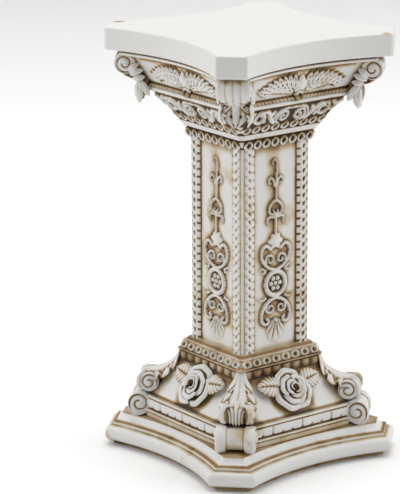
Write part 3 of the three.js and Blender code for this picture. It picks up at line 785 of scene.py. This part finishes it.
BASE_LEAF = (
    (50.5, 74.5, 3.4), (52.8, 68.6, 4.4), (57, 62.9, 9), (63, 59.2, 12.4), (69, 57.3, 13.4),
    (74.8, 56.1, 11.4), (79.4, 52.8, 7.2), (81, 47.8, 5.6), (80, 43, 5.6), (77, 40.6, 5.4),
)
BASE_NOTCHES = (0.32, 0.47, 0.61)
BASE_SLOTS = ((0.33, 0.5, 0.02), (0.45, 0.6, 0.022), (0.56, 0.52, 0.02), (0.7, 0.3, 0.02))
BASE_CURL = ((4.4, 1.1), (7.8, 1.0), (10.2, 0.45), (9.8, -0.3), (7.2, -0.75))
CURL_RADIUS = 1.9
CURL_LIFT = 0.7
BASE_THICKNESS = 2.6
BASE_STAIN = 0.1
CROWN_LEAF = (
    (93.6, 291.6, 10.4), (96, 287.4, 10.8), (95.4, 281.4, 10.8), (91, 275.6, 10.2), (84.6, 272, 9.6),
    (80.2, 271, 9.2), (78.2, 268, 9.6), (78.2, 263.4, 9.2), (79, 259.4, 6.6), (79.4, 255.4, 1.6),
)
CROWN_NOTCHES = (0.5, 0.63, 0.77)
CROWN_SLOTS = (
    (0.5, 0.6, 0.022), (0.58, 0.34, 0.022), (0.65, 0.66, 0.02), (0.78, 0.4, 0.02), (0.93, 0.3, 0.015),
)
LOBE_THICKNESS = 1.6
LOBE_STAIN = 0.08
CROWN_STAIN = 0.62
CROWN_ROOT_THICKNESS = 15
CROWN_TIP_THICKNESS = 4
CROWN_LOBES = (
    ((10.8, 85, 279), (12.2, 81.6, 282), (11, 77.8, 284.6), 5.0),
    ((10.8, 84, 276.8), (12.4, 79.4, 278.6), (11, 74.6, 280.2), 5.2),
    ((10.6, 81.6, 274), (12.2, 77.6, 274.4), (10.8, 73.2, 275), 4.8),
    ((9.8, 78.2, 272.6), (10.8, 74.2, 267.4), (10, 70.4, 261.2), 6.2),
    ((9.6, 78.2, 270.4), (10.6, 77.6, 263.4), (8, 78, 255.6), 6.8),
)


def tube(places, radius, rows=36, columns=12):
    """A round tube along a smooth curve of (t, s, z) places, tapered to a point at both ends."""
    spine = resample(smooth_path(places), rows)
    run = np.gradient(spine, axis=0)
    run /= np.linalg.norm(run, axis=1, keepdims=True)
    side = np.cross(run, [0.2, 1.0, 0.1])
    side /= np.linalg.norm(side, axis=1, keepdims=True)
    out = np.cross(side, run)
    angle = np.linspace(0, 2 * np.pi, columns, endpoint=False)[None, :, None]
    along = np.linspace(0, 1, rows)
    thick = (radius * np.clip(np.sin(np.pi * along), 0, 1) ** 0.35)[:, None, None]
    points = spine[:, None, :] + thick * (side[:, None, :] * np.cos(angle) + out[:, None, :] * np.sin(angle))
    return corner_points(points[..., 0], points[..., 1], points[..., 2]), np.full((rows, columns), 0.08)


def add_corner(body, leaf, lobes, thickness, stain, number):
    """Adds a corner's leaf and its lobes to both sides, turned to one of the four corners."""
    points, wash_and_shade, inward = leaf
    turn = QUARTER * number
    body.add_leaf(turned(points, turn), wash_and_shade, thickness, stain, turned(inward, turn))
    for start, middle, end, wide in lobes:
        for side in SIDES:
            flip = np.array([side, 1, 1])
            up = (side, 0.2, 0.1)
            made, lobe_wash = lobe(flip * start, flip * middle, flip * end, wide, up)
            body.add_leaf(turned(made, turn), lobe_wash, LOBE_THICKNESS, LOBE_STAIN)


# The roses

ROSE_FOOT = (55, 41.5)
ROSE_HEAD = (41, 62.5)
ROSE_UP = 14
BUD_HOLE = 2.8
PETAL_RINGS = (
    # petals, first angle, half spread, foot radius, rim radius, foot height, rim height, curl, twist
    (3, 1.66, 1.14, 5, 16.6, 1.2, 4.8, 2.0, 1.2),
    (3, 0.35, 1.22, 3, 11.6, 4.0, 6.8, 1.5, 1.3),
    (2, 2.40, 1.66, 2, 7.4, 5.6, 8.2, 1.1, 1.3),
    (1, 0.90, 2.90, 0.6, 4.1, 5.0, 8.8, 0.5, 0.8),
)


def rose_points(x, y, out):
    """Points on the first side from places on the rose's plane: x along, y up the slope, out square to it."""
    up = np.subtract(ROSE_HEAD, ROSE_FOOT)
    up = up / np.linalg.norm(up)
    k = ROSE_FOOT[0] + up[0] * (y + ROSE_UP) + up[1] * out
    z = ROSE_FOOT[1] + up[1] * (y + ROSE_UP) - up[0] * out
    return np.stack([x, -k, z], axis=-1)


def petal(covered, angle, spread, foot, rim, low, high, curl, twist, rows=20, columns=29):
    """A rose petal: it fans out from the rose's middle, stands up towards its rim and curls over at the edge.

    The twist lifts one of its sides over the next petal and lowers the other under the last. The share that
    the ring of petals over it covers is darkened with wash and painted shade, and the lowered edge is darker.
    """
    b = np.linspace(0, 1, rows)[:, None]
    a = np.linspace(-1, 1, columns)[None, :]
    theta = angle + spread * a * (0.35 + 0.65 * np.sqrt(b))
    ruffle = 0.03 * np.sin(3.2 * np.pi * a + angle)
    radius = foot + (rim - foot) * b * (1 - 0.24 * a**4 - 0.05 * a**2 + ruffle)
    out = low + (high - low) * np.clip(b / 0.86, 0, 1) ** 1.1 - curl * smoothstep(0.74, 1.0, b)
    out = out + twist * a * b - 0.05 * rim * a**2 * b
    # Wash and painted shade where the ring over it covers; the lowered edge is darker.
    wash_and_shade = 0.85 - 0.85 * smoothstep(covered - 0.02, covered + 0.15, b) + 0.6 * smoothstep(-0.8, -1.0, a)
    return rose_points(radius * np.cos(theta), radius * np.sin(theta), out), wash_and_shade + 0 * a


def rose_leaf(side, rows=34, columns=25):
    """A leaf beside the rose: saw-toothed at the edge, with a midrib and slanting veins."""
    b = np.linspace(0, 1, rows)[:, None]
    a = np.linspace(-1, 1, columns)[None, :]
    teeth = 1 - 0.10 * np.abs(np.sin(6.5 * np.pi * b))
    half = 8.2 * np.sin(np.pi * np.clip(0.1 + 0.9 * b, 0, 1)) ** 0.75 * teeth
    along = 8 + 21 * b
    turn = 0.20
    across = half * a
    vein = np.cos(2 * np.pi * (7 * b - 1.4 * np.abs(a)))
    out = 2.6 + 2.4 * np.sin(np.pi * b) - 1.6 * a**2 - 0.8 * dip(a, 0.12) + 0.28 * vein
    x = side * (along * np.cos(turn) - across * np.sin(turn))
    y = 2.4 + along * np.sin(turn) * 0.9 + across * np.cos(turn)
    wash_and_shade = 0.6 * dip(a, 0.12) + 0.4 * np.clip(-vein, 0, 1) + 0.5 * np.abs(a) ** 8
    wash_and_shade = wash_and_shade + 0.5 * (1 - smoothstep(0, 0.3, b))
    return rose_points(x, y, out), np.clip(wash_and_shade, 0, 1)


# Slab and plinth


# Two dark marks near the top edge of the slab.
SLAB_MARKS = (
    # x, y, z, spread along x, y and z, strength
    (61, -76, 310, 3, 3, 1.2, 0.55),
    (-58.5, 76, 310, 4.5, 3.2, 0.9, 1.2),
)


def moulded(body, profile, sizes, wash_and_shadow_lines, marks=()):
    """Adds a plain moulding round the hollow-sided outline, from levels of (k, z, flare, cut).

    It has dark lines at some heights, some of them painted shadow, and dark marks, each a bell about a place.
    """
    levels = levels_along(profile, sizes.plain_pitch / 4)
    u, k, z, _ = side_grid(levels, side_counts(sizes.foot_half, sizes.plain_pitch), 8)
    wash_and_shade = sum((strength * dip(z - line, wide) for line, wide, strength in wash_and_shadow_lines), 0 * z)
    four_sides(body, u, k, z, 0 * z, wash_and_shade)
    points = body.points[-1]
    for *place, strength in marks:
        away = np.linalg.norm((points - place[:3]) / place[3:], axis=1)
        body.wash_and_shade[-1] = body.wash_and_shade[-1] + strength * dip(away, 1)


def foot_level(sizes, offset, z):
    """A level of the plinth, as an offset of the foot's outline."""
    return (sizes.foot_half + offset, z, sizes.foot_flare + 0.3 * offset, sizes.foot_cut + 1.2 * offset)


def slab_level(sizes, inset, z):
    """A level of the slab, as an inset of its outline."""
    return (sizes.slab_half - inset, z, sizes.slab_flare - 0.3 * inset, sizes.slab_cut - 0.6 * inset)


# Shader maths


class Wire:
    """A shader value. Operators on wires and numbers add maths nodes to the material's tree."""

    def __init__(self, tree, socket):
        self.tree = tree
        self.socket = socket

    def math(self, operation, *values):
        """A maths node over wires or numbers."""
        return node(self.tree, "ShaderNodeMath", {"operation": operation}, dict(enumerate(values)))

    def __add__(self, other):
        return self.math("ADD", self, other)

    def __sub__(self, other):
        return self.math("SUBTRACT", self, other)

    def __mul__(self, other):
        return self.math("MULTIPLY", self, other)

    def __rsub__(self, other):
        return self.math("SUBTRACT", other, self)

    __radd__ = __add__
    __rmul__ = __mul__

    def ramp(self, low, high):
        """0 below low, 1 above high and smooth between."""
        settings = {"interpolation_type": "SMOOTHSTEP"}
        limits = {"Value": self, "From Min": low, "From Max": high}
        return node(self.tree, "ShaderNodeMapRange", settings, limits)


def node(tree, kind, settings, values, output=0):
    """Adds a shader node, sets it up, feeds its sockets with wires or plain values and gives one output."""
    made = tree.nodes.new(kind)
    for name, value in settings.items():
        setattr(made, name, value)
    for key, value in values.items():
        socket = made.inputs[key]
        if isinstance(value, Wire):
            tree.links.new(value.socket, socket)
        else:
            socket.default_value = value
    return Wire(tree, made.outputs[output])


def mixed(tree, factor, first, second):
    """A colour mixed from two colours or wires."""
    settings = {"data_type": "RGBA"}
    return node(tree, "ShaderNodeMix", settings, {0: factor, 6: first, 7: second}, 2)


def solid_colour(value):
    """A colour with full cover."""
    return (*value, 1.0)


def paint_material(look):
    """Ivory paint under a brown wash: the wash and painted shade of each vertex, made uneven by noise, pick
    the colour.
    """
    material = bpy.data.materials.new("antique white")
    material.use_nodes = True
    tree = material.node_tree
    shader = tree.nodes["Principled BSDF"]
    place = node(tree, "ShaderNodeTexCoord", {}, {}, "Object")
    wash_and_shade = node(tree, "ShaderNodeAttribute", {"attribute_name": "wash_and_shade"}, {}, "Fac")
    noise = {"Vector": place, "Detail": 4.0, "Roughness": 0.6}
    cloud = node(tree, "ShaderNodeTexNoise", {}, {**noise, "Scale": 60.0})
    grain = node(tree, "ShaderNodeTexNoise", {}, {**noise, "Scale": 420.0})
    coarse = node(tree, "ShaderNodeTexNoise", {}, {**noise, "Scale": 28.0})
    height = node(tree, "ShaderNodeSeparateXYZ", {}, {"Vector": place}, "Z")
    under_slab = 1 - height.ramp(0.284, 0.290)
    stain = coarse.ramp(0.54, 0.74) * under_slab * look.stain
    uneven = wash_and_shade + (cloud - 0.5) * look.mottle * wash_and_shade.ramp(0.02, 0.4) + (grain - 0.5) * 0.12 + stain
    first = mixed(tree, uneven.ramp(0.04, 0.34), solid_colour(look.ivory), solid_colour(look.cream))
    second = mixed(tree, uneven.ramp(0.25, 0.62), first, solid_colour(look.tan))
    third = mixed(tree, uneven.ramp(0.58, 1.0), second, solid_colour(look.umber))
    tree.links.new(third.socket, shader.inputs["Base Color"])
    rough = look.roughness + 0.18 * uneven.ramp(0.2, 0.9)
    tree.links.new(rough.socket, shader.inputs["Roughness"])
    bump = node(tree, "ShaderNodeBump", {}, {"Strength": 0.12, "Distance": 0.0004, "Height": grain})
    tree.links.new(bump.socket, shader.inputs["Normal"])
    return material


def plain_material(name, value, roughness):
    """One even colour."""
    material = bpy.data.materials.new(name)
    material.use_nodes = True
    shader = material.node_tree.nodes["Principled BSDF"]
    shader.inputs["Base Color"].default_value = solid_colour(value)
    shader.inputs["Roughness"].default_value = roughness
    return material


def paint(context):
    """The pedestal's paint, made once."""
    return bpy.data.materials.get("antique white") or paint_material(context.scene.pedestal_wash)


# Operators


class PEDESTAL_OT_plinth(bpy.types.Operator):
    """Adds the foot, torus and sweep of the plinth"""

    bl_idname = "pedestal.plinth"
    bl_label = "Plinth"

    def execute(self, context):
        sizes = millimetres(context.scene.pedestal_sizes)
        swell = sizes.torus_swell
        steps = (
            (-2, 0.0), (-0.3, 0.0), (0, 0.3), (0, 3.4),
            (0.55 * swell, 3.6), (0.84 * swell, 5), (0.97 * swell, 7),
            (swell, 9), (0.96 * swell, 11), (0.85 * swell, 12.6), (0.55 * swell, 14), (0.08 * swell, 14.5),
            (0.3, 14.7), (0.3, 16.8), (-1.5, 17), (-1.7, 17.6), (-3.4, 18.4), (-5, 19.9), (-5.9, 21.6),
            (-6, 22.3), (-12, 22.5),
        )
        profile = [foot_level(sizes, offset, z) for offset, z in steps]
        # The lines at 3.4 and 1.6 mm paint the shade on the recessed foot under the torus.
        lines = ((14.6, 0.5, 0.55), (17.2, 0.7, 0.75), (22.3, 0.4, 0.5), (3.4, 0.5, 0.8), (1.6, 1.5, 0.62))
        body = Body()
        moulded(body, profile, sizes, lines)
        body.place("plinth", paint(context))
        return {"FINISHED"}


class PEDESTAL_OT_slab(bpy.types.Operator):
    """Adds the top slab with its soft edges and the fillet under it"""

    bl_idname = "pedestal.slab"
    bl_label = "Slab"

    def execute(self, context):
        sizes = millimetres(context.scene.pedestal_sizes)
        low, top = sizes.slab_bottom, sizes.height
        fillet = (sizes.slab_flare - 4.3, sizes.slab_cut + 2)
        steps = (
            (8, low), (1.2, low), (0.4, low + 0.4), (0, low + 1.3),
            (0, top - 1.3), (0.4, top - 0.4), (1.3, top), (8, top),
        )
        foot = sizes.cove_top
        fillet_steps = ((8, foot), (2.2, foot), (2, 290.5), (2, 291.9), (2.4, 292.2), (3.4, 292.3))
        profile = [(sizes.slab_half - inset, z, *fillet) for inset, z in fillet_steps]
        profile += [slab_level(sizes, inset, z) for inset, z in steps]
        body = Body()
        # The two lines paint the shadow above and below the fillet under the slab.
        moulded(body, profile, sizes, ((292.9, 0.6, 0.9), (290.1, 0.4, 0.8)), SLAB_MARKS)
        body.place("slab", paint(context))
        return {"FINISHED"}


def carved(context, name, profile, relief, reach, cut_count, wiped=0.0, coarse=1.0):
    """Adds a carved moulding: its profile, and on each side the rise, wash and painted shade that a relief
    formula gives.

    The coarse factor widens the grid of a moulding with little carving.
    """
    sizes = millimetres(context.scene.pedestal_sizes)
    levels = levels_along(profile, coarse * sizes.pitch)
    u, k, z, beyond = side_grid(levels, side_counts(reach, coarse * sizes.pitch), cut_count)
    rise, wash_and_shade = relief(u, z, sizes)
    out = np.abs(u) / np.max(np.abs(u), axis=1, keepdims=True)
    rise = rise * (beyond == 0) * (1 - smoothstep(0.985, 1.0, out))
    body = Body()
    four_sides(body, u, k, z, rise, wash_and_shade, wiped)
    return body.place(name, paint(context))


class PEDESTAL_OT_block(bpy.types.Operator):
    """Adds the block with its notched frieze"""

    bl_idname = "pedestal.block"
    bl_label = "Block and frieze"

    def execute(self, context):
        sizes = millimetres(context.scene.pedestal_sizes)
        low, top, half = sizes.frieze_bottom, sizes.frieze_top, sizes.frieze_half
        steps = (
            (-6, 21), (1.8, 21.2), (1.8, low - 1.2), (2.6, low - 1), (2.8, low - 0.4), (2.8, low + 0.4),
            (2.5, low + 0.9), (0, low + 1.1), (0, top - 2), (1.0, top - 1.8), (1.1, top - 0.4), (0.7, top),
            (-8, top + 0.2),
        )
        profile = [(half + d, z, 0, 2 * (half + d) - sizes.block_corner) for d, z in steps]
        carved(context, "block", profile, frieze_relief, sizes.block_corner - half, 10, coarse=1.3)
        return {"FINISHED"}


class PEDESTAL_OT_field(bpy.types.Operator):
    """Adds the sloping field, its tongues and the bead band over them"""

    bl_idname = "pedestal.field"
    bl_label = "Field and bead band"

    def execute(self, context):
        sizes = millimetres(context.scene.pedestal_sizes)
        foot, head = sizes.frieze_top, sizes.field_top
        profile = [(50, foot - 1, 0, 14)]
        for up in np.linspace(0, 1, 9):
            half = sizes.field_top_half + (sizes.field_foot_half - sizes.field_top_half) * (1 - up) ** 1.35
            profile.append((half, foot + (head - foot) * up, 0, 14 - 11 * up))
        band_foot = sizes.band_bottom
        steps = (
            (37.4, head + 0.2), (36.8, band_foot - 0.3), (38.3, band_foot), (38.6, band_foot + 0.5),
            (38.2, band_foot + 1.1), (37.2, band_foot + 1.4), (34.8, 78.4), (34.2, 79), (32.2, 81.2),
            (29.5, 81.6),
        )
        profile += [(k, z, 0, 2.5) for k, z in steps]
        carved(context, "field", profile, field_relief, 42, 8, coarse=1.15)
        return {"FINISHED"}


class PEDESTAL_OT_shaft(bpy.types.Operator):
    """Adds the shaft with its carved panels and leafy borders"""

    bl_idname = "pedestal.shaft"
    bl_label = "Shaft"

    def execute(self, context):
        sizes = millimetres(context.scene.pedestal_sizes)
        ends = (sizes.shaft_bottom - 1, sizes.shaft_top + 1)
        profile = [(sizes.shaft_half, z, 0, sizes.shaft_cut) for z in ends]
        carved(context, "shaft", profile, shaft_relief, sizes.shaft_half - sizes.shaft_cut, 2, 0.6)
        return {"FINISHED"}


class PEDESTAL_OT_neck(bpy.types.Operator):
    """Adds the flaring neck with its bead rows and scrolls"""

    bl_idname = "pedestal.neck"
    bl_label = "Neck"

    def execute(self, context):
        sizes = millimetres(context.scene.pedestal_sizes)
        low, top = sizes.shaft_top, sizes.neck_fillet
        steps = (
            (28, low - 0.3, 3), (31.6, low, 3), (32.6, low + 1.2, 3), (33.6, low + 4, 3), (33.8, 237.2, 3),
            (32.9, 237.9, 3), (32.9, 238.4, 3), (34.7, 238.8, 3), (35.6, 240.6, 3), (37.2, 242.6, 3),
            (37.3, 243.2, 3), (36.4, 243.7, 3), (36.6, 244.2, 3), (38.9, 247.2, 3),
            (41.4, sizes.scrolls_bottom, 3), (46.6, 257.4, 6), (51.8, top - 0.6, 8), (52.4, top - 0.2, 8),
            (54.9, top + 0.1, 10), (55.6, top + 0.7, 10), (55.6, top + 2.2, 11), (54.8, 267.4, 12),
            (50, 267.8, 12),
        )
        profile = [(k, z, 0, cut) for k, z, cut in steps]
        carved(context, "neck", profile, neck_relief, 44, 6)
        return {"FINISHED"}


class PEDESTAL_OT_cove(bpy.types.Operator):
    """Adds the cove under the slab with its rope and leafy spray"""

    bl_idname = "pedestal.cove"
    bl_label = "Cove"

    def execute(self, context):
        sizes = millimetres(context.scene.pedestal_sizes)
        low, top = sizes.cove_bottom, sizes.cove_top
        steps = ((50, low), (54.2, low + 0.3), (54.6, low + 2.6), (53.4, low + 3.2))
        profile = [(k, z, 0, 10) for k, z in steps]
        for up in np.linspace(0.2, 1, 8):
            sweep = up**1.5
            profile.append((53.6 + 8 * sweep, low + 1 + (top - low) * up, 9 * sweep, 10))
        profile.append((54, top + 1.2, 8, 10))
        carved(context, "cove", profile, cove_relief, 56, 6)
        return {"FINISHED"}


class PEDESTAL_OT_base_corners(bpy.types.Operator):
    """Adds the leaf and the two scrolls of each base corner"""

    bl_idname = "pedestal.base_corners"
    bl_label = "Base corners"

    def execute(self, context):
        c = millimetres(context.scene.pedestal_corners)
        leaves, rolls = Body(), Body()
        leaf = corner_leaf(BASE_LEAF, 2.5, 0.8, 0.8, BASE_NOTCHES, BASE_SLOTS)
        low = roll(c.low_s, c.low_z, c.low_radius, c.low_half, PADDED_BARREL, 1, -1.05, c.around, foot=0.24)
        leaf_roll = (c.leaf_s, c.leaf_z, c.leaf_radius, c.leaf_half)
        high = roll(*leaf_roll, PLAIN_BARREL, -1, 3.9, c.around, shade=0.75)
        curl_t, curl_angle = np.transpose(BASE_CURL)
        reach = c.leaf_radius + CURL_LIFT
        curl_s = c.leaf_s + reach * np.cos(curl_angle)
        curl_z = c.leaf_z + reach * np.sin(curl_angle)
        for number in range(4):
            add_corner(leaves, leaf, (), BASE_THICKNESS, BASE_STAIN, number)
            for side in SIDES:
                curl, curl_wash = tube(np.stack([side * curl_t, curl_s, curl_z], axis=1), CURL_RADIUS)
                add_roll(leaves, turned(curl, QUARTER * number), curl_wash)
            for points, wash_and_shade in (low, high):
                add_roll(rolls, turned(points, QUARTER * number), wash_and_shade)
        leaves.place("base_leaves", paint(context))
        rolls.place("base_scrolls", paint(context))
        return {"FINISHED"}


class PEDESTAL_OT_crown_corners(bpy.types.Operator):
    """Adds the leaf and the scroll under each corner of the slab"""

    bl_idname = "pedestal.crown_corners"
    bl_label = "Crown corners"

    def execute(self, context):
        c = millimetres(context.scene.pedestal_corners)
        leaves, rolls = Body(), Body()
        leaf = corner_leaf(CROWN_LEAF, 1.5, 0.35, 0.3, CROWN_NOTCHES, CROWN_SLOTS)
        thinned = smoothstep(0.56, 0.74, np.linspace(0, 1, len(leaf[1])))[:, None]
        thick = CROWN_ROOT_THICKNESS + (CROWN_TIP_THICKNESS - CROWN_ROOT_THICKNESS) * thinned
        high = roll(c.high_s, c.high_z, c.high_radius, c.high_half, PLAIN_BARREL, 1, 3.4, c.around)
        for number in range(4):
            add_corner(leaves, leaf, CROWN_LOBES, thick, CROWN_STAIN, number)
            add_roll(rolls, turned(high[0], QUARTER * number), high[1])
        leaves.place("crown_leaves", paint(context))
        rolls.place("crown_scrolls", paint(context))
        return {"FINISHED"}


class PEDESTAL_OT_roses(bpy.types.Operator):
    """Adds the rose and its two leaves on each side of the base"""

    bl_idname = "pedestal.roses"
    bl_label = "Roses"

    def execute(self, context):
        body = Body()
        for number in range(4):
            angle = QUARTER * number
            inner_rims = [ring[4] for ring in PETAL_RINGS[1:]] + [BUD_HOLE]
            for (count, first, spread, foot, rim, *rest), inner in zip(PETAL_RINGS, inner_rims):
                covered = (inner - foot) / (rim - foot)
                for place in range(count):
                    points, wash_and_shade = petal(covered, first + 2 * np.pi * place / count, spread, foot, rim, *rest)
                    body.add_leaf(turned(points, angle), wash_and_shade, 1.3)
            for side in SIDES:
                points, wash_and_shade = rose_leaf(side)
                body.add_leaf(turned(points, angle), wash_and_shade, 1.8)
        body.place("roses", paint(context))
        return {"FINISHED"}


def camera_axes(yaw, pitch, roll_angle=0.0):
    """Right, up and back directions of a camera from its bearing, rise and roll."""
    back = np.array([np.sin(yaw) * np.cos(pitch), -np.cos(yaw) * np.cos(pitch), np.sin(pitch)])
    right = np.cross([0, 0, 1], back)
    right /= np.linalg.norm(right)
    up = np.cross(back, right)
    c, s = np.cos(roll_angle), np.sin(roll_angle)
    return right * c + up * s, up * c - right * s, back


class PEDESTAL_OT_stage(bpy.types.Operator):
    """Adds the floor and backdrop, the lights and the camera"""

    bl_idname = "pedestal.stage"
    bl_label = "Stage"

    def execute(self, context):
        look = context.scene.pedestal_stage
        context.scene.view_settings.view_transform = "Standard"
        self.add_floor(context, look)
        self.add_lights(context, look)
        self.add_camera(context, look)
        return {"FINISHED"}

    def add_floor(self, context, look):
        """A round pale floor that sweeps up as a backdrop, by half the square of the run past 2.5 m."""
        radius = np.linspace(0, 6, 40)[:, None]
        angle = np.linspace(0, 2 * np.pi, 64, endpoint=False)[None, :]
        rise = 0.5 * np.clip(radius - 2.5, 0, None) ** 2
        points = np.stack([radius * np.cos(angle), radius * np.sin(angle), rise + 0 * angle], axis=-1)
        mesh = bpy.data.meshes.new("floor")
        mesh.from_pydata(points.reshape(-1, 3), [], grid_quads(40, 64, True).tolist())
        mesh.polygons.foreach_set("use_smooth", np.ones(len(mesh.polygons), bool))
        mesh.materials.append(plain_material("floor", look.floor, 0.9))
        floor = bpy.data.objects.new("floor", mesh)
        context.scene.collection.objects.link(floor)

    def add_lights(self, context, look):
        """Even light all round, a large soft light to each side and one overhead."""
        world = bpy.data.worlds.new("studio")
        world.use_nodes = True
        world.node_tree.nodes["Background"].inputs["Strength"].default_value = look.ambient
        world.node_tree.nodes["Background"].inputs["Color"].default_value = (1, 1, 1, 1)
        context.scene.world = world
        places = (
            # name, bearing, rise, power, width and distance
            ("left light", look.camera_yaw - 1.5, 0.55, look.side_power, 1.2, 1.5),
            ("right light", look.camera_yaw + 1.5, 0.55, look.side_power, 1.2, 1.5),
            ("top light", look.camera_yaw + np.pi, 1.3, look.top_power, 2.4, 2.6),
        )
        for name, yaw, pitch, power, width, distance in places:
            light = bpy.data.lights.new(name, "AREA")
            light.energy = power
            light.size = width
            lamp = bpy.data.objects.new(name, light)
            right, up, back = camera_axes(yaw, pitch)
            place = distance * back + [0, 0, context.scene.pedestal_sizes.height / 2]
            lamp.matrix_world = Matrix((*np.column_stack([right, up, back, place]), (0, 0, 0, 1)))
            context.scene.collection.objects.link(lamp)

    def add_camera(self, context, look):
        """A long lens at the bearing and rise of the settings, looking at the middle of the pedestal."""
        camera = bpy.data.cameras.new("camera")
        camera.sensor_fit = "VERTICAL"
        camera.sensor_height = 36.0
        camera.lens = look.lens
        camera.dof.use_dof = False
        eye = bpy.data.objects.new("camera", camera)
        middle = np.array([0, 0, context.scene.pedestal_sizes.height / 2])
        place = middle + look.distance * camera_axes(look.camera_yaw, look.camera_pitch)[2]
        axes = camera_axes(look.look_yaw, look.look_pitch, look.look_roll)
        eye.matrix_world = Matrix((*np.column_stack([*axes, place]), (0, 0, 0, 1)))
        context.scene.collection.objects.link(eye)
        context.scene.camera = eye


OPERATORS = (
    PEDESTAL_OT_plinth,
    PEDESTAL_OT_block,
    PEDESTAL_OT_field,
    PEDESTAL_OT_shaft,
    PEDESTAL_OT_neck,
    PEDESTAL_OT_cove,
    PEDESTAL_OT_slab,
    PEDESTAL_OT_base_corners,
    PEDESTAL_OT_crown_corners,
    PEDESTAL_OT_roses,
    PEDESTAL_OT_stage,
)
GROUPS = {
    "pedestal_sizes": PedestalSizes,
    "pedestal_corners": CornerSizes,
    "pedestal_wash": WashLook,
    "pedestal_stage": StageLook,
}


class PEDESTAL_PT_panel(bpy.types.Panel):
    """Settings and buttons for the carved pedestal"""

    bl_idname = "PEDESTAL_PT_panel"
    bl_label = "Carved pedestal"
    bl_space_type = "VIEW_3D"
    bl_region_type = "UI"
    bl_category = "Pedestal"

    def draw(self, context):
        for name, kind in GROUPS.items():
            box = self.layout.box()
            box.label(text=kind.__doc__)
            for setting in kind.__annotations__:
                box.prop(getattr(context.scene, name), setting)
        for operator in OPERATORS:
            self.layout.operator(operator.bl_idname)


CLASSES = (*GROUPS.values(), *OPERATORS, PEDESTAL_PT_panel)


def register():
    for kind in CLASSES:
        bpy.utils.register_class(kind)
    for name, kind in GROUPS.items():
        setattr(bpy.types.Scene, name, PointerProperty(type=kind))


def unregister():
    for name in GROUPS:
        delattr(bpy.types.Scene, name)
    for kind in reversed(CLASSES):
        bpy.utils.unregister_class(kind)


def main():
    """Builds every piece and the stage."""
    register()
    for operator in OPERATORS:
        group, name = operator.bl_idname.split(".")
        getattr(getattr(bpy.ops, group), name)()


if __name__ == "__main__":
    main()
